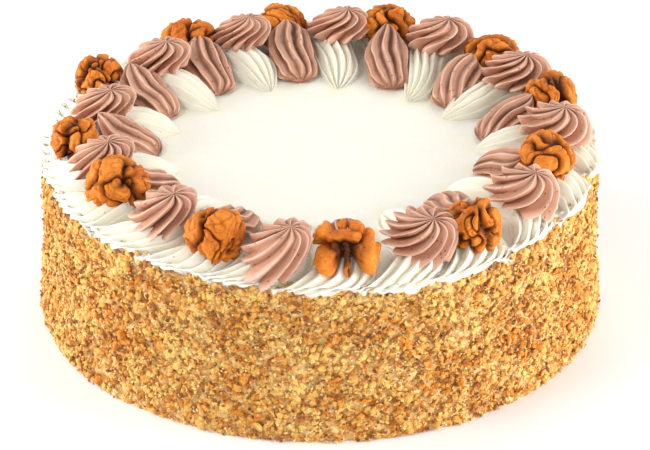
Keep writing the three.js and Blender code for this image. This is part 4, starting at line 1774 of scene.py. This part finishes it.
def build_white_shells(number: int, finish: bpy.types.Material) -> None:
    """Builds the long and the short white shell of one place.

    Args:
        number: The place.
        finish: Their material.
    """
    for long in (True, False):
        word = "long" if long else "short"
        node = PAIR_NODE if number == PAIRED else f"white_{word}_shell_{number:02d}"
        points = white_points(number, long)
        azimuth = nearest_turn(points.azimuth, points.azimuth[points.radius.argmax()])
        outer = azimuth[points.radius > FAN_START]
        about = 0.5 * float(outer.min() + outer.max())
        ribs = Ribs(8, 0.18, 0.3, -0.08, 0.15, seed=number * 2 + long)
        WhiteShell(points, about, long, ribs).build(f"white_{word}_{number:02d}", (node,), finish)


def build_cocoa(number: int, finish: bpy.types.Material) -> None:
    """Builds the cocoa rosette and the cocoa shell of one place.

    Args:
        number: The place.
        finish: Their material.
    """
    ribs = Ribs(10 + number % 3, 0.1, 0.15, -0.3, seed=40 + number)
    moved, tip_moved = ROSETTE_MOVES.get(number, ((0.0, 0.0, 0.0), (1.0, -1.5, 0.0)))
    Rosette(f"cocoa_rosette_{number:02d}", ribs, moved=moved, tip_moved=tip_moved).build(finish)
    ribs = Ribs(11, 0.1, 0.1, -0.15, seed=60 + number)
    shape = {"half_width": 8.0, "lowered": 0.62} if number == 1 else {"fuller": FULL_TIPS.get(number, 0.0)}
    CocoaShell(f"cocoa_shell_{number:02d}", ribs, **shape).build(finish)


def build_walnut(number: int, finish: bpy.types.Material) -> None:
    """Builds the walnut half of one place.

    Args:
        number: The place.
        finish: Its material.
    """
    turn, tilt = WALNUT_TURNS[number - 1], WALNUT_TILTS[number - 1]
    moved = WALNUT_MOVES.get(number, (0.0, 0.0, 1.0))
    shape = {"drawn": FRONT_WALNUT, "squat": 0.86} if number == 1 else {}
    WalnutHalf(f"walnut_half_{number:02d}", turn, tilt, 80 + number, moved=moved, **shape).build(finish)


def main() -> None:
    """Builds the cake's pieces in order."""
    logging.basicConfig(level=logging.INFO, format="%(name)s %(message)s")
    # Painted light on the creams: the crests are a painted highlight and the valleys painted shade, near
    # black in the cocoa and yellowish in the white.
    white = Cream("white_cream_finish", 0.46, 0.3, 0.3, (0.004, 0.003, 0.0016), pits=0.02).made()
    cocoa = Cream(
        "cocoa_cream_finish",
        0.46,
        0.06,
        0.35,
        (0.001, 0.0006, 0.0004),
        crest=(0.82, 0.54, 0.41),
        flank=(0.54, 0.27, 0.17),
        valley=(0.1, 0.026, 0.01),
        pits=0.22,
        pit_shade=(0.2, 0.07, 0.035),
    ).made()
    skin = Walnut("walnut_finish", 0.45, specular=0.2).made()
    spread = Cream("spread_cream_finish", 0.46, 0.1, 0.25, (0.002, 0.0014, 0.0008), pits=0.0).made()
    tails = [f"white_long_shell_{number:02d}" for number in PLACES if number != PAIRED]
    leans = [f"cocoa_shell_{number:02d}" for number in PLACES]
    cake = CakeBody(touching=(PAIR_NODE, *tails, *leans))
    nuts = {kind.name.lower(): kind.value.made() for kind in Nut}
    cake.build(spread, nuts["nut_bed"])
    NutCoat(cake).build(nuts)
    for number in PLACES:
        build_white_shells(number, white)
        build_cocoa(number, cocoa)
        build_walnut(number, skin)
    Studio().build()


if __name__ == "__main__":
    main()
